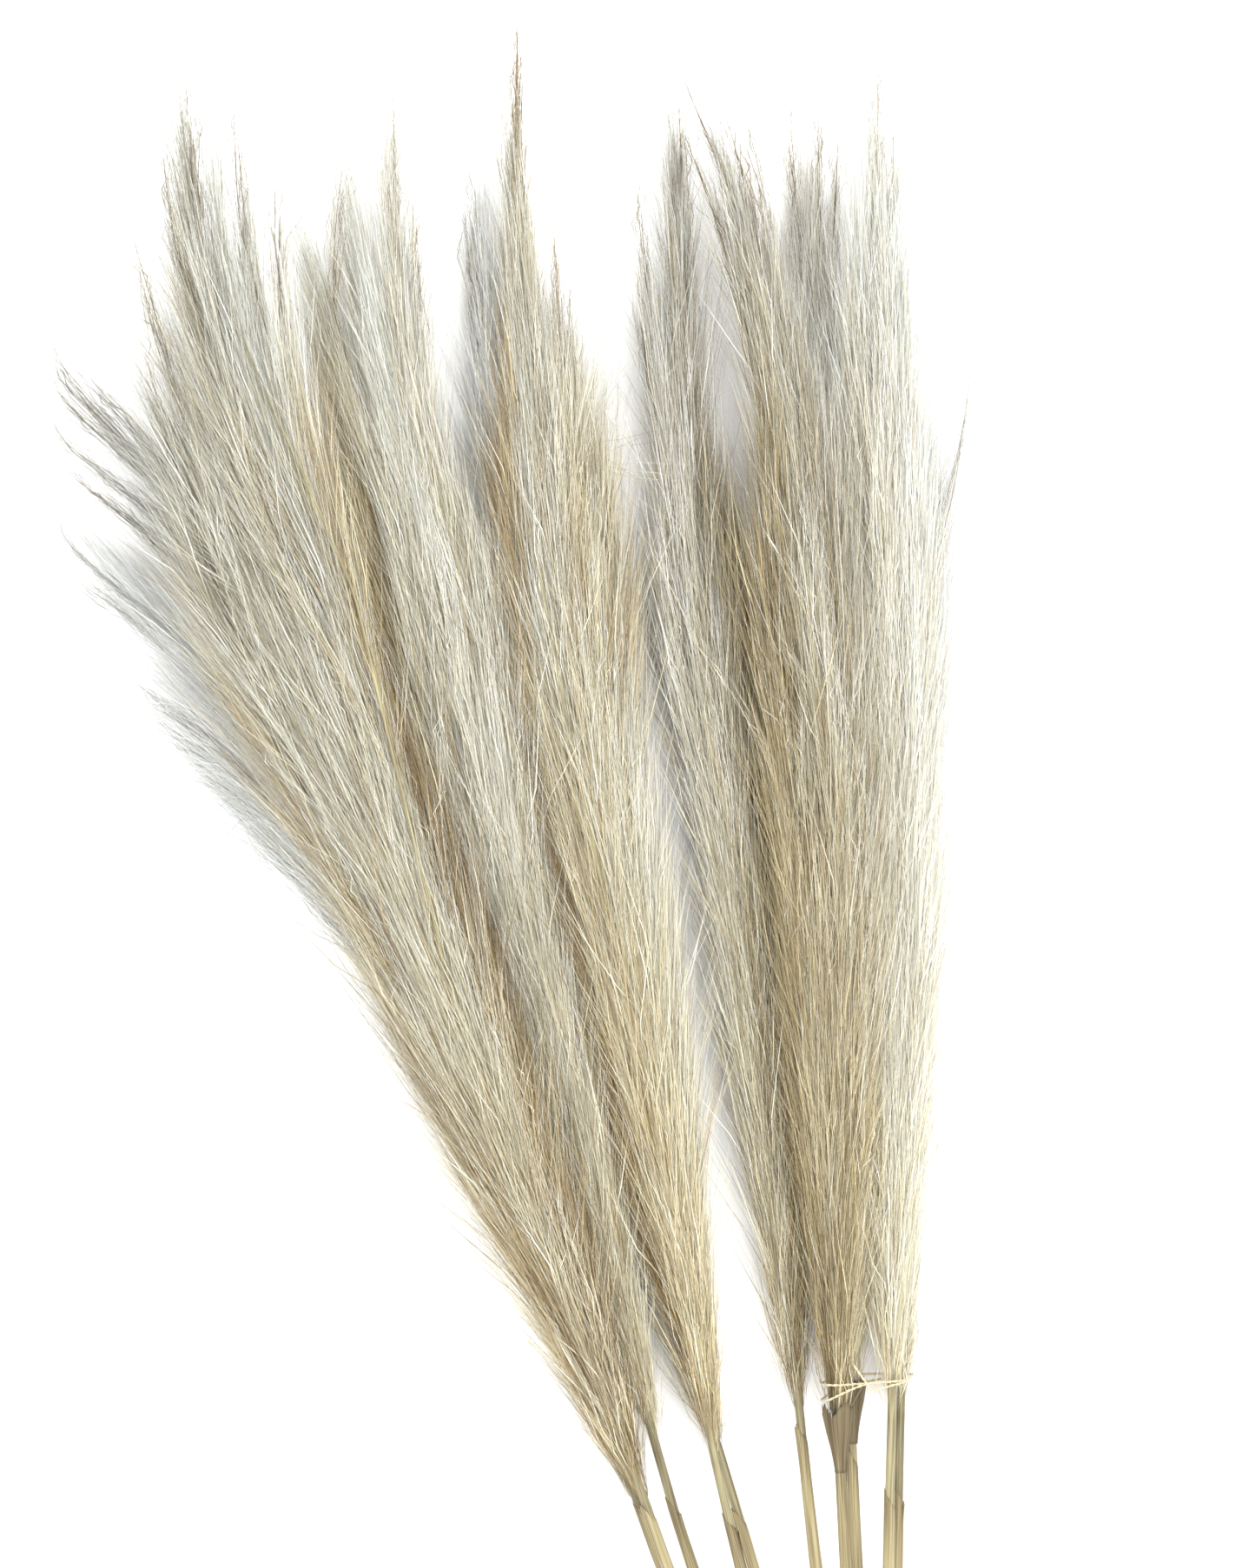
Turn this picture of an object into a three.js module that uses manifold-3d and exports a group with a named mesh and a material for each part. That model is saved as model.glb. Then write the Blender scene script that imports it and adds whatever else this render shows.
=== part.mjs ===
// A bundle of eleven dried pampas grass stalks, tied once with twine and laid on a flat surface.
// Units are millimetres. +Y runs along the stalks towards the tips of the plumes, +X is to the
// right and +Z is up from the surface. Everything is laid out from the twine, which lies across
// Y = 0, and the finished group is then moved so that its origin is the bottom centre of its box.

import * as THREE from 'three';
import { mergeVertices } from 'three/addons/utils/BufferGeometryUtils.js';
import Module from 'manifold-3d';

const wasm = await Module();
wasm.setup();

// ---- Driving dimensions ----

const CLEARANCE = 0.3; // gap kept between any two pieces
const KEEP_OFF = 0.7; // the same where a plume is cut by facets that lie aslant to it

const CULM_CUT_RADIUS = 3.5; // radius of a stalk's culm where it was cut
const CULM_TIE_RADIUS = 3.2; // the same at the twine
const CULM_HEAD_RADIUS = 2.3; // the same where the plume starts
const CULM_GAP = 1.4; // between neighbouring culms inside the twine
const CULM_SPLAY = 0.5; // how far the cut ends part below the twine, as a share of their spacing
const NODE_SWELL = 0.4; // how far a culm's node stands out
const NODE_LENGTH = 5; // along the culm
const BUTT_LENGTH = 110; // culm below the twine, before each stalk's own difference

const SHEATH_WALL = 0.7; // thickness of the dried leaf sheath round a culm
const SHEATH_MOUTH = 0.5; // how far the sheath's mouth opens beyond that

const HEAD_START = 270; // from the twine to the lowest plume
const NECK_REACH = 90; // how far the upper bend of a culm runs back from its plume
const TIE_REACH = 55; // how far the lower bend of a culm runs up from the twine
const NECK_BASE_HEIGHT = 3; // height of a plume's foot, with the share of its rest height below
const NECK_HEIGHT_SHARE = 0.52;
const RACHIS_RADIUS = 2.0; // the plume's stalk at its foot
const TIP_RADIUS = 1.3; // the plume's last strands, as one point
const FULLEST = 0.6; // where along its length a plume is fullest
const FOOT_BLUNTNESS = 0.62; // under 1 fills the plume out towards its foot
const TIP_BLUNTNESS = 0.95; // and towards its tip
const SETTLE_SHARE = 0.45; // where along its length a plume reaches its rest height
const TIP_DROOP = 0.28; // share of its rest height that a plume's tip hangs down

const TWINE_THICKNESS = 2.5;
const TWINE_TURNS = 5;
const TWINE_WIDTH = TWINE_TURNS * TWINE_THICKNESS; // of the turns, side by side
const KNOT_RADII = [6.5, 5, 3.4]; // half sizes along X, Y and Z

const STRAND_RADIUS = 0.7; // the fine strand wound round the right-hand plumes' feet
const STRAND_START = 58; // how far beyond HEAD_START that strand lies
const STRAND_SLACK = 0.9; // between the strand and the plumes' feet

const PLUME_STEPS = 16; // in walking a plume's middle line
const PLUME_STATIONS = [0, 0.04, 0.1, 0.17, 0.25, 0.33, 0.42, 0.51, 0.6, 0.69, 0.78, 0.86, 0.93, 1];
const CULM_SIDES = 8;
const PLUME_SIDES = 14;
const WRAP_SIDES = 28;
const STRAND_SIDES = 5;

// The stalks, from left to right as seen from above, with the plumes away from the viewer.
// slot, row   place among the culms in the twine, in half spacings and rows from the surface
// footX       where the plume starts, to the right of the twine's middle
// start       how far beyond HEAD_START the plume starts
// rest        height of the plume's middle once it has settled on what is below it
// length      of the plume, along its curve
// leans       of the plume to the left, in degrees, at its foot, middle and tip
// left, right half widths at the fullest point, because the hair falls more to one side
// depth       half thickness at the fullest point
// bare        culm left bare between the sheath's mouth and the plume
// sheath      length of the sheath
// butt        how much longer than BUTT_LENGTH the culm runs below the twine
const STALKS = [
  { slot: -3, row: 0, footX: -105, start: 0, rest: 13, length: 529, leans: [18, 27, 50],
    left: 30, right: 34, depth: 17, bare: 2, sheath: 172, butt: -6, tint: 0xb9b4a4 },
  { slot: -2, row: 1, footX: -106, start: 2, rest: 42, length: 556, leans: [19, 23, 49],
    left: 30, right: 34, depth: 14, bare: 4, sheath: 168, butt: 5, tint: 0xc6bfa9 },
  { slot: -3, row: 2, footX: -102, start: 3, rest: 70, length: 677, leans: [18, 21, 10],
    left: 46, right: 26, depth: 14, bare: 4, sheath: 175, butt: 12, tint: 0xcfc6ac },
  { slot: -1, row: 0, footX: -97, start: 26, rest: 36, length: 614, leans: [14, 13.5, 2],
    left: 34, right: 34, depth: 14, bare: 28, sheath: 178, butt: -2, tint: 0xcdc3aa },
  { slot: -1, row: 2, footX: -70, start: 22, rest: 42, length: 655, leans: [12, 10, -3],
    left: 18, right: 42, depth: 14, bare: 30, sheath: 174, butt: 8, tint: 0xd2c8a8 },
  { slot: 0, row: 1, footX: -66, start: 18, rest: 13, length: 605, leans: [17, 11, 2],
    left: 30, right: 28, depth: 17, bare: 26, sheath: 170, butt: -9, tint: 0xbcb7a6 },
  { slot: 1, row: 0, footX: -30, start: 38, rest: 26, length: 600, leans: [5, 8, 5],
    left: 22, right: 20, depth: 15, bare: 4, sheath: 196, butt: 3, tint: 0xbfb599 },
  { slot: 1, row: 2, footX: -13, start: 32, rest: 58, length: 612, leans: [3, 4.5, 16],
    left: 18, right: 32, depth: 14, bare: 3, sheath: 190, butt: 10, tint: 0xc2b795 },
  { slot: 2, row: 1, footX: -6, start: 42, rest: 13, length: 578, leans: [1, 2, 3],
    left: 26, right: 24, depth: 17, bare: 20, sheath: 184, butt: -4, tint: 0xb7ac90 },
  { slot: 3, row: 2, footX: 12, start: 42, rest: 42, length: 596, leans: [-2, 1, 3],
    left: 24, right: 17, depth: 14, bare: 38, sheath: 178, butt: -11, tint: 0xe0d6b8 },
  { slot: 3, row: 0, footX: 17, start: 42, rest: 13, length: 500, leans: [-1.5, -1, -2],
    left: 26, right: 12, depth: 17, bare: 38, sheath: 182, butt: 1, tint: 0xdcd7c6 },
];
const STRAND_STALKS = [7, 8, 9, 10]; // the stalks that the fine strand holds, by their index

// ---- Curves ----

const UP = new THREE.Vector3(0, 0, 1);
const CULM_SPACING = 2 * CULM_TIE_RADIUS + CULM_GAP; // between their centres there
const ROW_RISE = CULM_SPACING * Math.sqrt(3) / 2;
const FIRST_ROW_HEIGHT = TWINE_THICKNESS + CLEARANCE + CULM_TIE_RADIUS;

// The direction that leans so many degrees to the left of +Y.
function leaning(degrees) {
  const angle = THREE.MathUtils.degToRad(degrees);
  return new THREE.Vector3(-Math.sin(angle), Math.cos(angle), 0);
}

function tiePoint(stalk) {
  const height = FIRST_ROW_HEIGHT + stalk.row * ROW_RISE;
  return new THREE.Vector3(stalk.slot * CULM_SPACING / 2, 0, height);
}

function footPoint(stalk) {
  const height = NECK_BASE_HEIGHT + NECK_HEIGHT_SHARE * stalk.rest;
  return new THREE.Vector3(stalk.footX, HEAD_START + stalk.start, height);
}

// From the cut end, square through the twine and in one long bend up to the plume's foot.
function culmCurve(stalk) {
  const tie = tiePoint(stalk);
  const foot = footPoint(stalk);
  const butt = BUTT_LENGTH + stalk.butt;
  const cutEnd = new THREE.Vector3(tie.x * (1 + CULM_SPLAY), -butt, tie.z);
  const curve = new THREE.CurvePath();
  curve.add(new THREE.QuadraticBezierCurve3(cutEnd, new THREE.Vector3(tie.x, -butt / 2, tie.z), tie));
  curve.add(new THREE.CubicBezierCurve3(
    tie,
    tie.clone().add(new THREE.Vector3(0, TIE_REACH, 0)),
    foot.clone().addScaledVector(leaning(stalk.leans[0]), -NECK_REACH),
    foot,
  ));
  return curve;
}

// The parabola through three values at 0, 1/2 and 1.
function through([first, middle, last], t) {
  return first * (1 - t) * (1 - 2 * t) + middle * 4 * t * (1 - t) + last * t * (2 * t - 1);
}

function plumeHeight(stalk, t) {
  const foot = footPoint(stalk).z;
  const settled = THREE.MathUtils.smoothstep(t, 0, SETTLE_SHARE);
  const past = Math.max(0, (t - FULLEST) / (1 - FULLEST));
  return foot + (stalk.rest - foot) * settled - TIP_DROOP * stalk.rest * past * past;
}

// The plume's middle line, walked from its foot with the lean that it has at each point.
function plumeCurve(stalk) {
  const at = footPoint(stalk).addScaledVector(leaning(stalk.leans[0]), CLEARANCE);
  const points = [at.clone()];
  for (let i = 0; i < PLUME_STEPS; i++) {
    const t = (i + 0.5) / PLUME_STEPS;
    at.addScaledVector(leaning(through(stalk.leans, t)), stalk.length / PLUME_STEPS);
    at.z = plumeHeight(stalk, (i + 1) / PLUME_STEPS);
    points.push(at.clone());
  }
  return new THREE.CatmullRomCurve3(points);
}

// ---- Closed solids ----

// One ring of points round a curve's point, square to its direction. The size is given as its
// reach to the left, the right and up or down, and no point goes under the surface.
function ring(centre, direction, size, sides) {
  const side = direction.clone().cross(UP).normalize();
  const over = side.clone().cross(direction);
  const points = [];
  for (let i = 0; i < sides; i++) {
    const angle = 2 * Math.PI * (i + 0.5) / sides;
    const across = Math.sin(angle);
    const point = centre.clone();
    point.addScaledVector(side, across * (across > 0 ? size.right : size.left));
    point.addScaledVector(over, -Math.cos(angle) * size.depth);
    point.z = Math.max(point.z, 0);
    points.push(point);
  }
  return points;
}

function round(radius) {
  return { left: radius, right: radius, depth: radius };
}

// Joins rings with the same number of points into triangles. With ends, the two end rings are
// closed by fans; without, the last ring joins the first.
function loft(rings, { ends }) {
  const sides = rings[0].length;
  const positions = rings.flat();
  const triangles = [];
  const spans = ends ? rings.length - 1 : rings.length;
  for (let r = 0; r < spans; r++) {
    const near = r * sides;
    const far = ((r + 1) % rings.length) * sides;
    for (let i = 0; i < sides; i++) {
      const next = (i + 1) % sides;
      triangles.push(near + i, far + next, near + next);
      triangles.push(near + i, far + i, far + next);
    }
  }
  if (ends) {
    for (const [index, forward] of [[0, true], [rings.length - 1, false]]) {
      const middle = new THREE.Vector3();
      rings[index].forEach((point) => middle.addScaledVector(point, 1 / sides));
      const centre = positions.push(middle) - 1;
      for (let i = 0; i < sides; i++) {
        const a = index * sides + i;
        const b = index * sides + (i + 1) % sides;
        triangles.push(centre, forward ? a : b, forward ? b : a);
      }
    }
  }
  const geometry = new THREE.BufferGeometry().setFromPoints(positions);
  geometry.setIndex(triangles);
  return geometry;
}

// The same shape with each corner stored once.
function merged(geometry) {
  geometry.deleteAttribute('normal');
  geometry.deleteAttribute('uv');
  return mergeVertices(geometry);
}

function toSolid(geometry) {
  return new wasm.Manifold(new wasm.Mesh({
    numProp: 3,
    vertProperties: new Float32Array(geometry.attributes.position.array),
    triVerts: new Uint32Array(geometry.index.array),
  }));
}

function toGeometry(solid) {
  const mesh = solid.getMesh();
  const geometry = new THREE.BufferGeometry();
  geometry.setAttribute('position', new THREE.BufferAttribute(mesh.vertProperties, 3));
  geometry.setIndex(Array.from(mesh.triVerts));
  return geometry;
}

// The largest of a solid's separate bodies: a cut can leave a loose crumb beside it.
function largestBody(solid) {
  return solid.decompose().reduce((a, b) => (a.volume() > b.volume() ? a : b));
}

// ---- Culms and sheaths ----

// Where along the culm's curve, from its cut end, its parts lie.
function culmStations(stalk) {
  const [below, above] = culmCurve(stalk).curves;
  const tie = below.getLength();
  const length = tie + above.getLength();
  const mouth = length - stalk.bare;
  const sheathFoot = mouth - stalk.sheath;
  return { tie, length, mouth, sheathFoot, node: sheathFoot - NODE_LENGTH };
}

function culmRadius(stalk, distance) {
  const { tie, length, node } = culmStations(stalk);
  const plain = distance < tie
    ? THREE.MathUtils.mapLinear(distance, 0, tie, CULM_CUT_RADIUS, CULM_TIE_RADIUS)
    : THREE.MathUtils.mapLinear(distance, tie, length, CULM_TIE_RADIUS, CULM_HEAD_RADIUS);
  return plain + NODE_SWELL * Math.max(0, 1 - Math.abs(distance - node) / (NODE_LENGTH / 2));
}

function ringAlong(curve, distance, size, sides) {
  const share = THREE.MathUtils.clamp(distance / curve.getLength(), 0, 1);
  return ring(curve.getPointAt(share), curve.getTangentAt(share), size, sides);
}

function evenly(from, to, count) {
  return Array.from({ length: count + 1 }, (_, i) => from + (to - from) * i / count);
}

function culmGeometry(stalk, grow = 0) {
  const curve = culmCurve(stalk);
  const { tie, node, length } = culmStations(stalk);
  const stations = [
    ...evenly(0, tie - TWINE_WIDTH / 2, 2),
    tie,
    ...evenly(tie + TWINE_WIDTH / 2, node - NODE_LENGTH / 2, 4),
    node,
    ...evenly(node + NODE_LENGTH / 2, length, 7),
  ];
  return loft(stations.map((distance) => {
    const size = round(culmRadius(stalk, distance) + grow);
    return ringAlong(curve, distance, size, CULM_SIDES);
  }), { ends: true });
}

function sheathInnerRadius(stalk, distance) {
  return culmRadius(stalk, distance) + CLEARANCE;
}

// A thin sleeve, open at both ends: up the outside and back down the inside.
function sheathGeometry(stalk) {
  const curve = culmCurve(stalk);
  const { mouth, sheathFoot } = culmStations(stalk);
  const stations = evenly(sheathFoot, mouth, 4);
  const outside = stations.map((distance) => {
    const flare = distance === mouth ? SHEATH_MOUTH : 0;
    const size = round(sheathInnerRadius(stalk, distance) + SHEATH_WALL + flare);
    return ringAlong(curve, distance, size, CULM_SIDES);
  });
  const inside = stations.map((distance) => {
    const flare = distance === mouth ? SHEATH_MOUTH : 0;
    const size = round(sheathInnerRadius(stalk, distance) + flare);
    return ringAlong(curve, distance, size, CULM_SIDES);
  });
  return loft([...outside, ...inside.reverse()], { ends: false });
}

// ---- Plumes ----

// How full a plume is at t along it, from 0 at its ends to 1 at its fullest.
function fullness(t) {
  const bend = Math.log(0.5) / Math.log(FULLEST);
  const bluntness = t < FULLEST ? FOOT_BLUNTNESS : TIP_BLUNTNESS;
  return Math.max(0, Math.sin(Math.PI * t ** bend)) ** bluntness;
}

function plumeSize(stalk, t, grow) {
  const thin = THREE.MathUtils.lerp(RACHIS_RADIUS, TIP_RADIUS, t);
  const full = fullness(t);
  return {
    left: THREE.MathUtils.lerp(thin, stalk.left, full) + grow,
    right: THREE.MathUtils.lerp(thin, stalk.right, full) + grow,
    depth: THREE.MathUtils.lerp(thin, stalk.depth, full) + grow,
  };
}

function plumeGeometry(stalk, grow = 0) {
  const curve = plumeCurve(stalk);
  const rings = PLUME_STATIONS.map((t) => {
    const size = plumeSize(stalk, t, grow);
    const direction = curve.getTangentAt(t);
    const past = (t === 1 ? 1 : 0) - (t === 0 ? 1 : 0);
    const centre = curve.getPointAt(t).addScaledVector(direction, past * grow);
    return ring(centre, direction, size, PLUME_SIDES);
  });
  return loft(rings, { ends: true });
}

// The plumes settle from the surface up: each gives way to the culms and to the plumes that lie
// lower, which are made larger by KEEP_OFF for that, and stays one body.
function settledPlumes() {
  const order = STALKS.map((_, i) => i).sort((a, b) => STALKS[a].rest - STALKS[b].rest || a - b);
  const geometries = [];
  const placed = [];
  const strand = toSolid(strandGeometry(KEEP_OFF));
  for (const index of order) {
    let solid = toSolid(plumeGeometry(STALKS[index]));
    STALKS.forEach((stalk, other) => {
      if (other !== index) solid = solid.subtract(toSolid(culmGeometry(stalk, KEEP_OFF)));
    });
    placed.forEach((lower) => {
      solid = solid.subtract(lower);
    });
    solid = solid.subtract(strand);
    geometries[index] = toGeometry(largestBody(solid));
    placed.push(toSolid(plumeGeometry(STALKS[index], KEEP_OFF)));
  }
  return geometries;
}

// ---- Twine and strand ----

// The outline of something pulled tight round a set of points in the plane of X and Z, at a
// distance from them: for each direction, the farthest point and the distance beyond it.
function wrapped(points, distance) {
  const outline = [];
  for (let i = 0; i < WRAP_SIDES; i++) {
    const angle = 2 * Math.PI * i / WRAP_SIDES;
    const way = new THREE.Vector3(Math.cos(angle), 0, -Math.sin(angle));
    const farthest = points.reduce((a, b) => (b.dot(way) > a.dot(way) ? b : a));
    outline.push({ corner: farthest, way, at: farthest.clone().addScaledVector(way, distance) });
  }
  return outline;
}

// The turns of twine as one flat band round the culms, with the knot on top.
function twineGeometry() {
  const half = TWINE_WIDTH / 2;
  const ties = STALKS.flatMap((stalk) => {
    const curve = culmCurve(stalk);
    const { tie } = culmStations(stalk);
    return [tie - half, tie, tie + half].map((distance) => (
      curve.getPointAt(distance / curve.getLength()).setY(0)
    ));
  });
  const inside = CULM_TIE_RADIUS + CLEARANCE;
  const rings = wrapped(ties, 0).map(({ corner, way }) => [
    [inside, -half],
    [inside + TWINE_THICKNESS, -half],
    [inside + TWINE_THICKNESS, half],
    [inside, half],
  ].map(([reach, along]) => {
    const point = corner.clone().addScaledVector(way, reach);
    return new THREE.Vector3(point.x, along, Math.max(point.z, 0));
  }));
  const band = toSolid(loft(rings, { ends: false }));
  const top = Math.max(...ties.map((tie) => tie.z)) + inside + TWINE_THICKNESS;
  const knotShape = new THREE.IcosahedronGeometry(1, 2);
  knotShape.scale(...KNOT_RADII);
  knotShape.translate(0, 0, top + KNOT_RADII[2] - TWINE_THICKNESS);
  return toGeometry(band.add(toSolid(merged(knotShape))));
}

// A fine strand round the feet of the plumes that it holds.
function strandGeometry(grow = 0) {
  const points = STRAND_STALKS.flatMap((index) => {
    const stalk = STALKS[index];
    const curve = plumeCurve(stalk);
    const share = (STRAND_START - stalk.start) / curve.getLength();
    const size = plumeSize(stalk, share, 0);
    return ring(curve.getPointAt(share), curve.getTangentAt(share), size, PLUME_SIDES);
  });
  const outline = wrapped(points, STRAND_SLACK + STRAND_RADIUS);
  const rings = outline.map(({ at, way }) => {
    const points = [];
    for (let i = 0; i < STRAND_SIDES; i++) {
      const angle = 2 * Math.PI * i / STRAND_SIDES;
      const point = new THREE.Vector3(at.x, HEAD_START + STRAND_START, at.z);
      point.addScaledVector(way, -Math.cos(angle) * (STRAND_RADIUS + grow));
      point.y -= Math.sin(angle) * (STRAND_RADIUS + grow);
      points.push(point);
    }
    return points;
  });
  return loft(rings, { ends: false });
}

// ---- The bundle ----

const bundle = new THREE.Group();

function addPiece(name, geometry, colour, roughness) {
  geometry.computeVertexNormals();
  const material = new THREE.MeshStandardMaterial({ color: colour, roughness, metalness: 0 });
  const mesh = new THREE.Mesh(geometry, material);
  mesh.name = name;
  bundle.add(mesh);
}

const plumes = settledPlumes();
STALKS.forEach((stalk, index) => {
  const number = String(index + 1).padStart(2, '0');
  addPiece(`culm_${number}`, culmGeometry(stalk), 0xb3a583, 0.6);
  addPiece(`sheath_${number}`, sheathGeometry(stalk), 0xbdaa83, 0.7);
  addPiece(`plume_${number}`, plumes[index], stalk.tint, 0.9);
});
addPiece('twine_tie', twineGeometry(), 0xa9875c, 0.95);
addPiece('binding_strand', strandGeometry(), 0xe2dccb, 0.7);

const box = new THREE.Box3().setFromObject(bundle, true);
const middle = box.getCenter(new THREE.Vector3());
bundle.position.set(-middle.x, -middle.y, -box.min.z);

export default bundle;
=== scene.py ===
"""The looks of a bundle of dried pampas grass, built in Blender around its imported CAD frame."""
import math

import bpy
import numpy as np
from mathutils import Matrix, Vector


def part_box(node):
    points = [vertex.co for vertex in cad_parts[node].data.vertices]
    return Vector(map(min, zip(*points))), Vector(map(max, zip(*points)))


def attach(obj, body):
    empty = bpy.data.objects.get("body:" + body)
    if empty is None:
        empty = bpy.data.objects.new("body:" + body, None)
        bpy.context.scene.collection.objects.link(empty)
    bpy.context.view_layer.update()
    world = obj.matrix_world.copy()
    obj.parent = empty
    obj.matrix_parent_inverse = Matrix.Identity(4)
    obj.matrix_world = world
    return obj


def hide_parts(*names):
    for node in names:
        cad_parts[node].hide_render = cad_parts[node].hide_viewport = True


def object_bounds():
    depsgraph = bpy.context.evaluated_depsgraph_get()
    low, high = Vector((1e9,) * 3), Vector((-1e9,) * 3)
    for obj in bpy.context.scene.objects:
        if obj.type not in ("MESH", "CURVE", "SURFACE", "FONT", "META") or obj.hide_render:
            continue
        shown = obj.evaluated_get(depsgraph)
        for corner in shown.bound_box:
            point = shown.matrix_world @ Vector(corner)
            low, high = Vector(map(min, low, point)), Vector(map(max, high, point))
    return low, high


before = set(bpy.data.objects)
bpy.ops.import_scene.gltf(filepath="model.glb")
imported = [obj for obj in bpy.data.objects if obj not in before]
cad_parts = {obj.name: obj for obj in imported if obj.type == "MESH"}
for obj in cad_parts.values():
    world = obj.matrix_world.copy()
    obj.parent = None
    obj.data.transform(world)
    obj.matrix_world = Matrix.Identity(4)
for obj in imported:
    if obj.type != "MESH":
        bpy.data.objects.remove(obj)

bl_info = {
    "name": "Pampas Grass Bundle",
    "version": (1, 0, 0),
    "blender": (4, 5, 0),
    "location": "View3D > Sidebar > Pampas",
    "description": "Builds plumes, culms, sheaths and ties of a dried pampas grass bundle",
    "category": "Add Mesh",
}

MM = 0.001
BODY = "root"
CAD_BOX = [list(corner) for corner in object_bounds()]
# Stations along a culm, and how far from its centre line a cut still belongs to it
CULM_STATIONS = 150
CULM_REACH = 12 * MM
# Dry plant fibre's index of refraction
PLANT_IOR = 1.5


def hex_colour(text):
    """Linear RGBA of an sRGB hex colour."""
    parts = [int(text[i:i + 2], 16) / 255 for i in (1, 3, 5)]
    linear = [p / 12.92 if p <= 0.04045 else ((p + 0.055) / 1.055) ** 2.4 for p in parts]
    return (*linear, 1.0)


# ---------------------------------------------------------------- sizes and colours


def length_field(name, millimetres, description):
    """A length that a user can change."""
    return bpy.props.FloatProperty(
        name=name, description=description, default=millimetres * MM, min=0, subtype="DISTANCE", unit="LENGTH"
    )


def amount_field(name, value, most, description):
    """A plain amount that a user can change."""
    return bpy.props.FloatProperty(name=name, description=description, default=value, min=0, max=most)


def colour_field(name, text):
    """A colour that a user can change, given as sRGB hex."""
    return bpy.props.FloatVectorProperty(
        name=name, description=f"Colour of {name.lower()}", default=hex_colour(text), min=0, max=1, size=4,
        subtype="COLOR",
    )


TONES = ("deep", "dull", "pale", "bright")


def tones(settings, finish):
    """The four colours of a finish, from its darkest to its lightest."""
    return [getattr(settings, f"{finish}_{tone}") for tone in TONES]


class PlumeSettings(bpy.types.PropertyGroup):
    """Sizes and colours of the hair on every plume. Each kind of hair has cool tones and straw tones."""

    hair_length: length_field("Hair Length", 112, "Longest hair on a plume")
    hair_radius: length_field("Hair Radius", 0.115, "Radius in the lower third of a hair")
    branch_radius: length_field("Branch Radius", 0.26, "Radius of a branch where it leaves the rachis")
    jitter: length_field("Branch Fullness", 2.6, "How far from its branch a hair may start")
    loose: amount_field("Looseness", 0.085, 1, "How far hairs stray from the line of their branch")
    flare: amount_field("Flare", 0.12, 2, "How strongly hairs lean out from the rachis")
    seed: bpy.props.IntProperty(name="Seed", description="Fixed seed of everything scattered", default=11)
    cream_cool_deep: colour_field("Cream Hair in Shadow", "#858477")
    cream_cool_dull: colour_field("Cream Hair, Dull", "#BFC1B5")
    cream_cool_pale: colour_field("Cream Hair, Pale", "#E4E6DE")
    cream_cool_bright: colour_field("Cream Hair Tips", "#FCFDF9")
    cream_straw_deep: colour_field("Cream Straw in Shadow", "#6E5229")
    cream_straw_dull: colour_field("Cream Straw, Dull", "#B79C68")
    cream_straw_pale: colour_field("Cream Straw, Pale", "#E6DBB2")
    cream_straw_bright: colour_field("Cream Straw Tips", "#FBF6DE")
    grey_cool_deep: colour_field("Grey Hair in Shadow", "#7C7F7C")
    grey_cool_dull: colour_field("Grey Hair, Dull", "#B5B8B4")
    grey_cool_pale: colour_field("Grey Hair, Pale", "#DFE1DE")
    grey_cool_bright: colour_field("Grey Hair Tips", "#FAFBFA")
    grey_straw_deep: colour_field("Grey Straw in Shadow", "#655030")
    grey_straw_dull: colour_field("Grey Straw, Dull", "#AB9666")
    grey_straw_pale: colour_field("Grey Straw, Pale", "#DCD1AA")
    grey_straw_bright: colour_field("Grey Straw Tips", "#F7F3DF")


class StalkSettings(bpy.types.PropertyGroup):
    """Sizes and colours of the culms, the leaf sheaths round them and the ties."""

    ribs: bpy.props.IntProperty(name="Culm Ribs", description="Ribs round a culm", default=11, min=4)
    rib_depth: amount_field("Rib Depth", 0.035, 0.2, "Depth of the grooves, as a share of the radius")
    sheath_wall: length_field("Sheath Wall", 0.3, "Thickness of a dried leaf sheath")
    sheath_gap: length_field("Sheath Gap", 0.25, "Gap between culm and sheath")
    twine_radius: length_field("Twine Radius", 1.25, "Half the thickness of the twine")
    twine_turns: bpy.props.IntProperty(name="Twine Turns", description="Turns of twine", default=5, min=1)
    strand_radius: length_field("Strand Radius", 0.6, "Half the thickness of the grass strand")
    culm_deep: colour_field("Culm Streaks", "#3C3420")
    culm_dull: colour_field("Culm, Dull", "#665D41")
    culm_pale: colour_field("Culm, Pale", "#8E8562")
    culm_bright: colour_field("Culm, Bright", "#ABA27B")
    sheath_deep: colour_field("Sheath Streaks", "#43361F")
    sheath_dull: colour_field("Sheath, Dull", "#6F6244")
    sheath_pale: colour_field("Sheath, Pale", "#978B66")
    sheath_bright: colour_field("Sheath, Bright", "#B3A985")
    twine_deep: colour_field("Twine Grooves", "#6E5230")
    twine_dull: colour_field("Twine, Dull", "#94744A")
    twine_pale: colour_field("Twine, Pale", "#B8966A")
    twine_bright: colour_field("Twine, Bright", "#D2B48A")
    strand_deep: colour_field("Strand Grooves", "#94835F")
    strand_dull: colour_field("Strand, Dull", "#B5A684")
    strand_pale: colour_field("Strand, Pale", "#CFC3A4")
    strand_bright: colour_field("Strand, Bright", "#E2D9C0")


class StageSettings(bpy.types.PropertyGroup):
    """The floor and the lights."""

    floor: colour_field("Floor", "#FBFBFB")
    walls: colour_field("Studio Walls", "#FFFFFF")
    walls_strength: amount_field("Studio Walls, Strength", 1.35, 10, "How much light comes from all round")
    key_power: bpy.props.FloatProperty(
        name="Key Light", description="Power of the light over the right-hand tops", default=70, unit="POWER"
    )
    fill_power: bpy.props.FloatProperty(
        name="Fill Light", description="Power of the weaker light on the left", default=32, unit="POWER"
    )


# ---------------------------------------------------------------- reading the frame


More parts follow.
